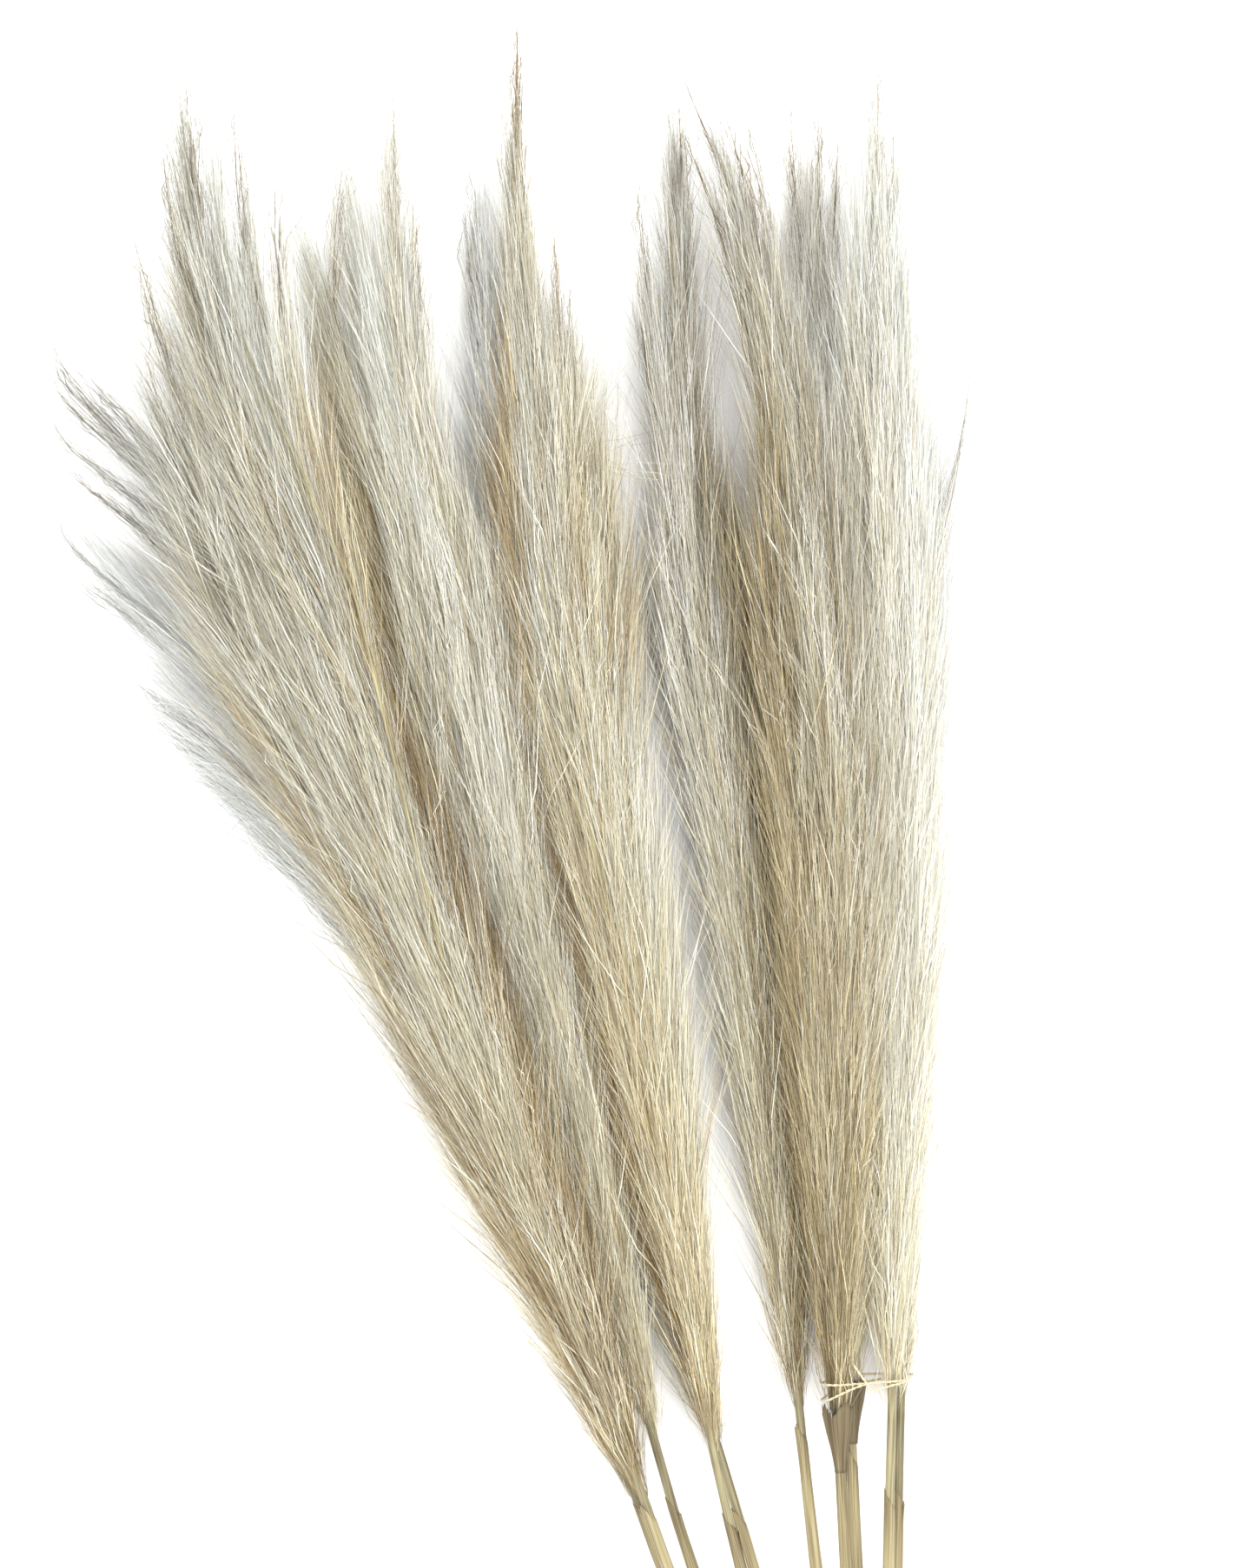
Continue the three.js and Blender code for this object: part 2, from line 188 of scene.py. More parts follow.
def mesh_arrays(name):
    """Corner points and triangles of a CAD node."""
    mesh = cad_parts[name].data
    mesh.calc_loop_triangles()
    points = np.empty(len(mesh.vertices) * 3)
    mesh.vertices.foreach_get("co", points)
    triangles = np.empty(len(mesh.loop_triangles) * 3, int)
    mesh.loop_triangles.foreach_get("vertices", triangles)
    return points.reshape(-1, 3), triangles.reshape(-1, 3)


def cut(points, triangles, origin, normal, reach):
    """Where a mesh's edges cross a plane, no farther than reach from the plane's origin."""
    height = (points - origin) @ normal
    start = triangles.ravel()
    end = np.roll(triangles, -1, axis=1).ravel()
    crossing = height[start] * height[end] < 0
    start, end = start[crossing], end[crossing]
    share = (height[start] / (height[start] - height[end]))[:, None]
    found = points[start] + (points[end] - points[start]) * share
    return found[np.linalg.norm(found - origin, axis=1) < reach]


def middle(found):
    """The middle of the box round some points."""
    return (found.min(0) + found.max(0)) / 2


def walked(line):
    """How far along a line each of its points is."""
    return np.r_[0, np.cumsum(np.linalg.norm(np.diff(line, axis=0), axis=1))]


def resample(line, count):
    """The same line with its points at even distances, and its length."""
    far = walked(line)
    share = np.linspace(0, 1, count)
    even = np.stack([np.interp(share * far[-1], far, line[:, k]) for k in range(3)], axis=1)
    return even, far[-1]


def smooth(values, passes=2):
    """Evens out neighbouring values and keeps both ends."""
    for _ in range(passes):
        values = np.concatenate([values[:1], (values[:-2] + 2 * values[1:-1] + values[2:]) / 4, values[-1:]])
    return values


class Spine:
    """The centre line of a long CAD node with its width and height along the way."""

    def __init__(self, name, count=60, reach=80 * MM, even=True):
        points, triangles = mesh_arrays(name)
        low, high = points[:, 1].min(), points[:, 1].max()
        # a level cut through a slanting end is lopsided, so the line's ends carry on from inside it
        slant, inset = 6 * MM, 1 * MM
        levels = np.linspace(low + slant, high - slant, count)
        up = np.array([0.0, 1.0, 0.0])
        rough = []
        for level in levels:
            nearby = points[np.abs(points[:, 1] - level).argmin()]
            origin = rough[-1] if rough else nearby
            origin = np.array([origin[0], level, origin[2]])
            rough.append(middle(cut(points, triangles, origin, up, reach)))
        rough = smooth(np.array(rough), 1)
        first, last = rough[0] - rough[2], rough[-1] - rough[-3]
        first, last = first * (slant - inset) / abs(first[1]), last * (slant - inset) / abs(last[1])
        line, self.length = resample(np.concatenate([[rough[0] + first], rough, [rough[-1] + last]]), count)
        self.share = np.linspace(0, 1, count)
        tangent = np.gradient(line, axis=0)
        tangent /= np.linalg.norm(tangent, axis=1)[:, None]
        side = np.cross(tangent, [0, 0, 1.0])
        side /= np.linalg.norm(side, axis=1)[:, None]
        left, right, bottom, top = [], [], [], []
        for place, along, across in zip(line, tangent, side):
            found = cut(points, triangles, place, along, reach)
            if len(found) < 3:
                found = place[None]
            offset = (found - place) @ across
            left.append(-offset.min())
            right.append(offset.max())
            bottom.append(found[:, 2].min())
            top.append(found[:, 2].max())
        passes = 2 if even else 0
        self.line, self.tangent, self.side = line, tangent, side
        self.left, self.right = smooth(np.array(left), passes), smooth(np.array(right), passes)
        self.bottom, self.top = smooth(np.array(bottom), passes), smooth(np.array(top), passes)

    def at(self, share, values):
        """Any of the spine's values at shares of its length, held on past both ends."""
        values = np.asarray(values)
        if values.ndim == 1:
            return np.interp(share, self.share, values)
        return np.stack([np.interp(share, self.share, values[:, k]) for k in range(values.shape[1])], axis=-1)

    def place(self, share):
        """Points on the centre line, carried straight on past both ends."""
        share = np.asarray(share, float)
        on_line = self.at(share, self.line)
        past = share - np.clip(share, 0, 1)
        return on_line + self.at(share, self.tangent) * (past * self.length)[..., None]


def culm_spine(index):
    """A culm's centre line, with enough stations for the swellings at its nodes, which aren't evened out."""
    return Spine(f"culm_{index:02d}", CULM_STATIONS, CULM_REACH, even=False)


# ---------------------------------------------------------------- nodes and materials


def set_inputs(tree, node, inputs):
    """Sets or links a node's inputs by name or by number. A node among the values gives its first output."""
    for key, value in inputs.items():
        socket = node.inputs[key]
        if isinstance(value, bpy.types.Node):
            value = value.outputs[0]
        if isinstance(value, bpy.types.NodeSocket):
            tree.links.new(value, socket)
        else:
            socket.default_value = value


def add_node(tree, kind, inputs=None, **settings):
    """Adds a node, sets its properties, and sets or links its inputs."""
    made = tree.nodes.new(kind)
    for name, value in settings.items():
        setattr(made, name, value)
    set_inputs(tree, made, inputs or {})
    return made


def new_tree(name, sockets):
    """An empty Geometry Nodes tree with named inputs, and its input and output nodes."""
    tree = bpy.data.node_groups.new(name, "GeometryNodeTree")
    tree.interface.new_socket("Geometry", in_out="OUTPUT", socket_type="NodeSocketGeometry")
    tree.interface.new_socket("Geometry", in_out="INPUT", socket_type="NodeSocketGeometry")
    for title, kind in sockets.items():
        tree.interface.new_socket(title, in_out="INPUT", socket_type=kind)
    return tree, tree.nodes.new("NodeGroupInput").outputs, tree.nodes.new("NodeGroupOutput").inputs


def grow(guide, tree, values, name):
    """Runs a tree on a guide mesh and returns the result as a plain mesh object."""
    modifier = guide.modifiers.new("grow", "NODES")
    modifier.node_group = tree
    for item in tree.interface.items_tree:
        if item.in_out == "INPUT" and item.name in values:
            modifier[item.identifier] = values[item.name]
    bpy.context.view_layer.update()
    evaluated = guide.evaluated_get(bpy.context.evaluated_depsgraph_get())
    mesh = bpy.data.meshes.new_from_object(evaluated)
    bpy.data.objects.remove(guide)
    mesh.name = name
    return add_object(name, mesh)


def add_object(name, data):
    """A new object in the scene, unmoved."""
    made = bpy.data.objects.new(name, data)
    bpy.context.scene.collection.objects.link(made)
    return made


def store(mesh, title, values):
    """Keeps a value or a vector for each point of a mesh."""
    values = np.asarray(values, np.float32)
    kind, field = ("FLOAT_VECTOR", "vector") if values.ndim == 2 else ("FLOAT", "value")
    if title in mesh.attributes:
        mesh.attributes.remove(mesh.attributes[title])
    mesh.attributes.new(title, kind, "POINT").data.foreach_set(field, values.ravel())


def guide_mesh(name, lines, values):
    """A mesh of open lines whose points carry named values. Each line is an array of points."""
    points = np.concatenate(lines)
    ends = np.cumsum([len(line) for line in lines])
    edges = np.array([(i, i + 1) for i in range(len(points) - 1)])
    edges = edges[~np.isin(edges[:, 1], ends)]
    mesh = bpy.data.meshes.new(name)
    mesh.from_pydata(points.tolist(), edges.tolist(), [])
    for title, column in values.items():
        store(mesh, title, column)
    return add_object(name, mesh)


def finish_piece(piece, node, slot):
    """Shades a piece smooth, hangs it on the body that it rides on and hides the CAD node it stands for. The
    slot is not used.
    """
    polygons = piece.data.polygons
    polygons.foreach_set("use_smooth", np.ones(len(polygons), bool))
    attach(piece, BODY)
    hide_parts(node)


def new_material(name):
    """A material, its node tree and its shader."""
    material = bpy.data.materials.new(name)
    material.use_nodes = True
    return material, material.node_tree, material.node_tree.nodes["Principled BSDF"]


def set_stops(ramp, colours, margin=0.0):
    """Spreads colours evenly over a ramp, but for a margin at both ends."""
    stops = ramp.color_ramp.elements
    while len(stops) < len(colours):
        stops.new(0.5)
    for k, colour in enumerate(colours):
        stops[k].position = margin + (1 - 2 * margin) * k / (len(colours) - 1)
        stops[k].color = colour


def plume_material(name, cool, straw):
    """Dried pampas hair: fine plant fibre, unpolished, which gives a soft silky sheen and no mirror gloss.

    The map's first value is a hair's shade, and its second is how straw-coloured it is.
    """
    material, tree, shader = new_material(name)
    spot = add_node(tree, "ShaderNodeUVMap", uv_map=HAIR_MAP)
    parts = add_node(tree, "ShaderNodeSeparateXYZ", {0: spot})
    shades = []
    for colours in (cool, straw):
        ramp = add_node(tree, "ShaderNodeValToRGB", {0: parts})
        set_stops(ramp, colours)
        shades.append(ramp.outputs[0])
    # a mix of colours has its factor at input 0, its colours at 6 and 7 and its result at output 2
    mixed = {0: parts.outputs[1], 6: shades[0], 7: shades[1]}
    blend = add_node(tree, "ShaderNodeMix", mixed, data_type="RGBA")
    set_inputs(tree, shader, {
        "Base Color": blend.outputs[2], "Roughness": 0.58, "IOR": PLANT_IOR, "Specular IOR Level": 0.35,
        "Sheen Weight": 0.12, "Sheen Roughness": 0.4,
    })
    return material


def fibre_material(name, colours, streak_mm, length_mm, roughness, bump_mm, depth=0.4):
    """Lengthwise plant fibre. The grain vector gives millimetres round and along the piece.

    Streaks run with the grain and blotches are a few times longer than wide; the age value browns it.
    """
    material, tree, shader = new_material(name)
    grain = add_node(tree, "ShaderNodeAttribute", attribute_name="grain").outputs["Vector"]
    age = add_node(tree, "ShaderNodeAttribute", attribute_name="age").outputs["Fac"]
    patterns = []
    for width, length, detail in ((streak_mm, length_mm, 3.0), (streak_mm * 7, length_mm * 1.5, 2.0)):
        scale = (1 / width, 1 / width, 1 / length)
        spot = add_node(tree, "ShaderNodeMapping", {"Vector": grain, "Scale": scale}).outputs[0]
        pattern = add_node(tree, "ShaderNodeTexNoise", {"Vector": spot, "Scale": 1.0, "Detail": detail})
        patterns.append(pattern.outputs[0])
    streaks, blotches = patterns
    mixed = add_node(tree, "ShaderNodeMath", {0: streaks, 1: 1.2, 2: -0.33}, operation="MULTIPLY_ADD")
    mixed = add_node(tree, "ShaderNodeMath", {0: blotches, 1: 0.55, 2: mixed}, operation="MULTIPLY_ADD")
    mixed = add_node(tree, "ShaderNodeMath", {0: mixed, 1: age}, operation="SUBTRACT")
    ramp = add_node(tree, "ShaderNodeValToRGB", {0: mixed})
    set_stops(ramp, colours, 0.1)
    rough = roughness + 0.09
    gloss = add_node(tree, "ShaderNodeMath", {0: streaks, 1: -0.18, 2: rough}, operation="MULTIPLY_ADD")
    height = {"Height": streaks, "Strength": depth, "Distance": bump_mm * MM}
    relief = add_node(tree, "ShaderNodeBump", height)
    set_inputs(tree, shader, {
        "Base Color": ramp, "Roughness": gloss, "Normal": relief, "IOR": PLANT_IOR,
    })
    return material


# ---------------------------------------------------------------- plumes

HAIR_MAP = "OFBake"
CREAM = "plume_cream"
GREY = "plume_grey"
# The look of a plume, with the values that most have.
# rachis: its share of the half width at foot and tip, and of the height half way.
# lean: which side the hair sweeps to. shade, warm: how much lighter and yellower than the others it is.
# low: how much lighter in the lower third, and slope, to the right, as painted light and shade from side to
# side.
# dark: painted shade beside the next plume, darker and browner towards one side (-1 left, 1 right), how much,
# and from what share of the half width.
# comb: how closely branches follow the plume, from 0 to 1. flare: how open, at foot, half way and tip.
# trim: share of the half widths that is filled: lower left, lower right, upper left and upper right.
# foot: millimetres added to the left and right at the foot. part: where tufts begin to part, and how fast.
# tufts at the top: (how far up, millimetres to the right of the centre line, share of the branches,
# millimetres to each side). awns, lone branches past the tufts: (from, to, millimetres to the right there).
PLAIN_LOOK = dict(rachis=(0, 0, 0), lean=0, low=0, slope=0, dark=(0, 0, 0), comb=0.75, trim=(1, 1, 1, 1))


def look(**own):
    """The plain look with a plume's own values."""
    return {**PLAIN_LOOK, **own}


PLUME_LOOKS = {
    1: look(
        slot=GREY, rachis=(0.3, 0.1, 0), lean=-0.2, shade=0.36, warm=-0.3, low=-0.34, comb=0.3,
        flare=(0.9, 0.4, 2.6), trim=(0.5, 1, 1, 0.3), foot=(10, 0), part=(0.55, 1.2),
        tufts=[(1, -13, 3, 3), (0.87, -18, 3, 6), (0.8, -24, 2, 6)],
        awns=[
            (0.8, 1.08, -18, -12), (0.8, 1, -18, -24), (0.66, 0.88, -24, -42), (0.58, 0.78, -28, -44),
            (0.52, 0.7, -26, -42), (0.6, 0.84, -30, -45),
        ],
    ),
    2: look(
        slot=GREY, rachis=(0.3, 0.1, 0), lean=-0.2, shade=-0.1, warm=-0.04, low=-0.16, slope=-0.1, comb=0.3,
        flare=(1, 0.4, 2.6), trim=(0.7, 1, 1, 0.7), foot=(3, 0), part=(0.55, 1.1),
        tufts=[(0.98, 0, 3, 5), (0.95, -9, 2, 6), (0.9, -18, 1, 6), (0.8, 12, 2, 6)],
        awns=[
            (0.84, 1.12, 2, 14), (0.82, 1.07, 6, 18), (0.8, 1.06, -8, -12), (0.76, 0.92, 12, 20),
            (0.86, 1.09, 0, 2), (0.84, 1.02, -16, -22), (0.82, 1.09, 2, 8),
        ],
    ),
    3: look(
        slot=CREAM, rachis=(-0.45, 1.7, 1.15), lean=-0.15, shade=-0.07, warm=0, low=0.06, slope=0.18,
        dark=(1, 0.75, 0.66), comb=0.35, flare=(0.8, 0.4, 1.6), trim=(0.7, 1, 0.85, 1), foot=(4, 6),
        part=(0.6, 1.4),
        tufts=[
            (1.03, 4, 4, 7), (1, 17, 3, 6), (0.97, 28, 2, 7), (0.9, 42, 3, 10), (0.9, -18, 2, 7),
            (0.84, -28, 2, 7),
        ],
        awns=[
            (0.84, 1.02, 4, 6), (0.82, 0.98, -8, -8), (0.76, 0.92, -22, -26), (0.7, 0.84, -28, -32),
            (0.84, 1, 22, 26), (0.84, 0.94, 34, 40),
        ],
    ),
    4: look(
        slot=CREAM, shade=0.15, warm=0.16, low=0.14, slope=0.04, dark=(-1, 0.6, 0.55), comb=0.7,
        flare=(0.9, 0.5, 1), trim=(1, 0.6, 1, 0.4), foot=(0, 5), part=(0.6, 1.3),
        tufts=[(1.06, -1, 5, 10), (1.01, -20, 3, 8), (0.97, -44, 3, 10)],
        awns=[(0.8, 1, -36, -22), (0.86, 1.05, 0, 2), (0.8, 0.97, 6, 10)],
    ),
    5: look(
        slot=CREAM, rachis=(0.15, -0.7, 1.1), lean=0.15, shade=0.08, warm=0.28, low=0.04, slope=0.1,
        dark=(-1, 0.5, 0.62), comb=0.7, flare=(0.6, 0.5, 0.6), trim=(1, 0.7, 0.85, 0.9), foot=(0, 7),
        part=(0.55, 1.3),
        tufts=[(0.96, -2, 3, 4), (0.79, 8, 3, 8)],
        awns=[(0.82, 1.03, -4, 2), (0.86, 1.04, -3, 1), (0.7, 0.84, 12, 17), (0.74, 0.88, 9, 13)],
    ),
    6: look(
        slot=GREY, shade=0.26, warm=-0.02, slope=0.05, comb=0.7, flare=(0.8, 0.5, 0.2),
        trim=(0.7, 1, 0.7, 1), foot=(0, 4), part=(0.55, 1.4),
        tufts=[(0.99, -2, 3, 4), (0.85, 4, 2, 7)],
        awns=[(0.84, 1.01, -4, -7), (0.84, 0.99, -6, -12)],
    ),
    7: look(
        slot=GREY, rachis=(0.2, 0, 0.3), shade=0.03, warm=0.24, low=-0.1, slope=-0.16, dark=(1, 0.2, 0.4),
        flare=(0.6, 0.3, 0.1), trim=(0.6, 1, 0.3, 0.35), foot=(3, 3), part=(0.6, 0.9),
        tufts=[(1.02, 15, 4, 3), (0.91, -3, 2, 2), (0.85, -5, 1, 2)],
        awns=[(0.86, 1.03, 13, 17), (0.82, 0.97, -4, -5), (0.76, 0.89, -7, -9)],
    ),
    8: look(
        slot=GREY, rachis=(0.3, 0.1, 0.2), shade=0, warm=0.28, low=0.02, dark=(-1, 0.2, 0.35),
        flare=(0.5, 0.3, 0.1), trim=(1, 1, 0.45, 1), foot=(5, 2), part=(0.6, 0.9),
        tufts=[(1.01, 6, 3, 3), (0.94, -3, 2, 2), (0.9, 14, 2, 5)],
        awns=[(0.82, 1.04, 10, 1), (0.8, 1, -2, -6), (0.86, 1, 11, 13)],
    ),
    9: look(
        slot=GREY, shade=0.1, warm=0.3, low=0.06, dark=(-1, 0.2, 0.4), flare=(0.5, 0.4, 0.4), foot=(4, 6),
        part=(0.65, 1.3),
        tufts=[(1.02, 0, 3, 6), (0.99, -12, 2, 5), (0.96, 11, 2, 5)],
        awns=[(0.86, 1.05, 2, 5), (0.88, 1.05, -14, -28), (0.88, 1.05, -6, -8), (0.88, 1.03, 6, 14)],
    ),
    10: look(
        slot=CREAM, rachis=(0.2, 0, 0), shade=0.3, warm=0.1, low=0.08, slope=0.08, dark=(-1, 0.12, 0.4),
        flare=(0.6, 0.3, 0.5), foot=(6, 3), part=(0.65, 1.3),
        tufts=[(1.05, 0, 3, 5), (0.98, 8, 2, 5), (0.96, -10, 2, 5)],
        awns=[(0.86, 1.06, 0, 2), (0.86, 1, 6, 8)],
    ),
    11: look(
        slot=GREY, shade=0.28, warm=-0.04, slope=0.1, flare=(0.5, 0.3, 0.4), trim=(1, 0.7, 1, 1),
        foot=(0, 8), part=(0.55, 1.1),
        tufts=[(0.88, 7, 3, 5), (0.8, 10, 2, 6)],
        awns=[(0.72, 0.99, 11, 26), (0.7, 0.88, 9, 13)],
    ),
}
# Branches, each a guide line of a few points
LOCKS_PER_METRE = 560
LOCK_POINTS = 8
# Where the first and last branch start and how crowded they are low down, and how long one is, in shares
LOCK_FOOT = -0.015
LOCK_TOP = 0.76
LOCK_CROWDING = 1.45
LOCK_SPAN = (0.14, 0.36)
# The lightness of a middling hair, and how much branches differ from each other in lightness and in straw
MIDDLE_SHADE = 0.505
SHADE_SPREAD = 0.205
STRAW_SPREAD = 0.22
# Pale loose branches that lie across the others, on top
STRAYS_PER_METRE = 34
# Lone branches past the tufts are thickened by others beside them
AWN_TWINS = 3
# Hairs of the whole bundle, and the most that one plume may have
HAIRS = 262000
MOST_HAIRS = 29000
# Hair this near the surface it lies on is pressed flat against it
FOOT_ROOM = 8 * MM
# How far past the bundle's box hair may stray on x, y and z: freely, and then ever less
STRAY_ROOM = ((8 * MM, 11 * MM), (12 * MM, 16 * MM), (1 * MM, 8 * MM))
# Between the seeds of the hair's random values
SEED_STEP = 17.0
# The share of a plume's length at which its culm has become its rachis
FOOT_JOIN = 0.07


def settle(points):
    """Keeps hair above the surface it lies on and near the bundle on every side, without a hard edge."""
    z = points[:, 2]
    points[:, 2] = np.where(z < FOOT_ROOM, FOOT_ROOM * np.exp((z - FOOT_ROOM) / FOOT_ROOM), z)
    low, high = CAD_BOX
    for axis, (free, room) in enumerate(STRAY_ROOM):
        for limit, way in ((high[axis], 1), (low[axis], -1)):
            if axis == 2 and way < 0:
                continue
            over = (points[:, axis] - limit) * way - free
            eased = limit + way * (free + room * (1 - np.exp(-over / room)))
            points[:, axis] = np.where(over > 0, eased, points[:, axis])


def across_at(spine, share, across, trim=(1.0, 1.0, 1.0, 1.0), foot=(0, 0)):
    """Offset for a share of the half width, wider on the side that the plume is wider on."""
    sides = []
    for half, low, high, more in zip((spine.left, spine.right), trim[:2], trim[2:], foot):
        kept = np.interp(share, [0.03, 0.12, 0.45, 0.58, 0.64, 0.76], [1, low, low, 1, 1, high])
        sides.append(spine.at(share, half) * kept + more * MM * np.exp(-np.clip(share, 0, None) / 0.08))
    return across * np.where(across > 0, sides[1], sides[0])


def middle_at(spine, share):
    """A plume's middle line and half its height."""
    line = spine.place(share)
    line[:, 2] = (spine.at(share, spine.top) + spine.at(share, spine.bottom)) / 2
    return line, (spine.at(share, spine.top) - spine.at(share, spine.bottom)) / 2


def rachis_line(spine, culm, look):
    """Where a plume's rachis runs, on from its culm in one smooth bend: shares of the plume, and points."""
    foot, tip, up = look["rachis"]
    share = np.linspace(FOOT_JOIN, 1, 58)
    line, tall = middle_at(spine, share)
    rise = np.clip((share - FOOT_JOIN) / 0.35, 0, 1) ** 2 * np.clip((1 - share) / 0.35, 0, 1)
    across = foot + (tip - foot) * share
    line += spine.at(share, spine.side) * (across_at(spine, share, across) * rise)[:, None]
    line[:, 2] += up * tall * rise
    start, arrive = culm.line[-1], line[0]
    reach = np.linalg.norm(arrive - start)
    t = np.linspace(0, 1, 9)[1:-1, None]
    way_in, way_out = culm.tangent[-1] * reach, spine.at(FOOT_JOIN, spine.tangent) * reach
    bend = (
        (2 * t**3 - 3 * t**2 + 1) * start + (t**3 - 2 * t**2 + t) * way_in
        + (3 * t**2 - 2 * t**3) * arrive + (t**3 - t**2) * way_out
    )
    return np.concatenate([FOOT_JOIN * t[:, 0], share]), np.concatenate([bend, line])


def branches(spine, rachis, look, rng):
    """Branches that leave the rachis, turn along the plume and end in its tufts.

    Each comes as its line and, for each of its points, the way out of the plume, the hair's shade, its straw,
    its share of the longest hair, and the branch's thickness.
    """
    rachis_share, rachis_points = rachis
    tufts = sorted(look["tufts"], key=lambda tuft: tuft[1])
    weights = np.array([tuft[2] for tuft in tufts], float)
    edges = np.r_[0, np.cumsum(weights / weights.sum())]
    step = np.linspace(0, 1, LOCK_POINTS)
    ease = 1 - (1 - step) ** 2
    count = int(LOCKS_PER_METRE * spine.length)
    gap_shade_side, gap_shade_much, gap_shade_from = look["dark"]
    part_from, part_power = look["part"]
    thick = np.interp(step, [0, 1], [1.0, 0.35])
    for k in range(count):
        start = LOCK_TOP * ((k + rng.random()) / count) ** LOCK_CROWDING + LOCK_FOOT
        span = rng.uniform(*LOCK_SPAN)
        turn = rng.uniform(0, 2 * math.pi)
        size = rng.random() ** 0.42
        across = float(np.clip(size * math.cos(turn) + look["lean"] * 0.6 * rng.random(), -1.02, 1.02))
        above = size * math.sin(turn)
        rank = (across + 1.02) / 2.04
        which = int(np.clip(np.searchsorted(edges, rank) - 1, 0, len(tufts) - 1))
        tuft_reach, tuft_side, _, tuft_half = tufts[which]
        in_tuft = ((rank - edges[which]) / (edges[which + 1] - edges[which]) - 0.5) * 2
        last = tuft_reach - 0.05 - 0.03 * abs(in_tuft)
        end = start + span
        if end > last:
            end = last - 0.22 * rng.random() ** 1.5 * (last - start)
        share = start + (end - start) * step
        gather = np.clip((share - part_from) / (tuft_reach - part_from), 0, 1) ** part_power
        wander = across + rng.normal(0, 0.2) * (step - 0.4) + 0.06 * np.sin(step * 4 + rng.uniform(0, 6.28))
        body = across_at(spine, share, wander, look["trim"], look["foot"])
        target = body * (1 - gather) + (tuft_side + in_tuft * tuft_half * (1.15 - gather)) * MM * gather
        root = np.stack([np.interp(share, rachis_share, rachis_points[:, j]) for j in range(3)], axis=1)
        centre, tall = middle_at(spine, share)
        centre[:, 2] += above * tall
        side = spine.at(share, spine.side)
        tip = centre + side * target[:, None]
        begun = look["comb"] + (0.95 - look["comb"]) * math.exp(-max(start, 0) / 0.08)
        begun *= 1 - 0.8 * math.exp(-max(start, 0) / 0.025)
        blend = np.maximum(begun + (1 - begun) * ease, gather)[:, None]
        away = side * (across + 0.3 * look["lean"]) + np.array([0, 0, 1.0]) * above * 0.6
        opened = np.interp(share, [0.06, 0.25, 0.55, 0.85], [look["flare"][k] for k in (0, 1, 1, 2)])
        outward = away * (opened * (0.4 + 0.6 * ease) * (1 - 0.8 * gather))[:, None]
        # painted shade in the gap beside the next plume, darker and browner and fading out towards the tip,
        # and the foot's own browning
        darkened = gap_shade_much * float(np.clip((across * gap_shade_side - gap_shade_from) / 0.25, 0, 1))
        darkened = darkened * np.interp(share, [0.55, 0.85], [1, 0])
        darkened = darkened + 0.04 * np.exp(-np.clip(share, 0, 1) / 0.05)
        # painted light and shade: lighter to one side by the slope, lighter on top of the plume and darker
        # deep inside it near the rachis
        shade = MIDDLE_SHADE + look["shade"] + look["slope"] * across
        shade = shade + rng.normal(0, SHADE_SPREAD) + 0.08 * above
        shade += 0.12 * (size - 0.7) - darkened + look["low"] * np.exp(-((share / 0.35) ** 2))
        straw = 0.98 - 0.84 * share - 0.25 * abs(across) * step + look["warm"] + 2 * darkened
        straw = straw + rng.normal(0, STRAW_SPREAD)
        reach = np.interp(share, [0, 0.12, 0.7, 1.0], [0.6, 1.0, 1.0, 0.7])
        yield root * (1 - blend) + tip * blend, outward, shade, straw, reach, thick


def strays(spine, look, rng):
    """Pale branches that lie across the others, over the top of a plume, in the same form as branches."""
    step = np.linspace(0, 1, LOCK_POINTS)
    reach, thick = np.interp(step, [0, 1], [0.3, 0.2]), np.interp(step, [0, 1], [1.0, 0.5])
    for _ in range(int(STRAYS_PER_METRE * spine.length)):
        share = rng.uniform(0.02, 0.55) + rng.uniform(0.16, 0.34) * step
        line, tall = middle_at(spine, share)
        across = rng.uniform(-0.8, 0.8) + rng.normal(0, 0.5) * (step - 0.3) ** 2 * 2
        side = spine.at(share, spine.side)
        line += side * across_at(spine, share, across, look["trim"])[:, None]
        line[:, 2] += 1.05 * tall * np.sqrt(np.clip(1 - (0.8 * across) ** 2, 0.2, 1))
        outward = side * 0.2 * np.sign(across)[:, None]
        shade = np.full(LOCK_POINTS, 0.74 + 0.5 * look["shade"] + rng.normal(0, 0.12))
        straw = 0.75 - 0.6 * share + look["warm"]
        yield line, outward, shade, straw, reach, thick


def awns(spine, look, rng):
    """Lone dark branches that reach past the tufts, in the same form as branches."""
    step = np.linspace(0, 1, LOCK_POINTS)
    reach, thick = np.interp(step, [0, 1], [0.5, 0.22]), np.interp(step, [0, 1], [1.6, 0.7])
    shade = np.full(LOCK_POINTS, 0.2 + 0.5 * look["shade"])
    straw = np.full(LOCK_POINTS, 0.3 + look["warm"])
    for begin, end, side_begin, side_end in look["awns"]:
        for twin in range(AWN_TWINS):
            share = begin + (end - 0.02 * twin - begin) * step
            line, _ = middle_at(spine, share)
            sway = np.sin(step * 5 + begin * 40 + twin) * 0.9 + rng.normal(0, 1.2) * (1 - step)
            offset = (side_begin + (side_end - side_begin) * step**1.5 + sway) * MM
            side = spine.at(share, spine.side)
            yield line + side * offset[:, None], side * 0.1, shade, straw, reach, thick


def lock_lines(spine, rachis, look, rng):
    """All guide lines of one plume, and the values that its hair reads at their points."""
    locks = [*branches(spine, rachis, look, rng), *strays(spine, look, rng), *awns(spine, look, rng)]
    lines, *columns = zip(*locks)
    return lines, dict(zip(("outward", "shade", "warm", "reach", "thick"), map(np.concatenate, columns)))


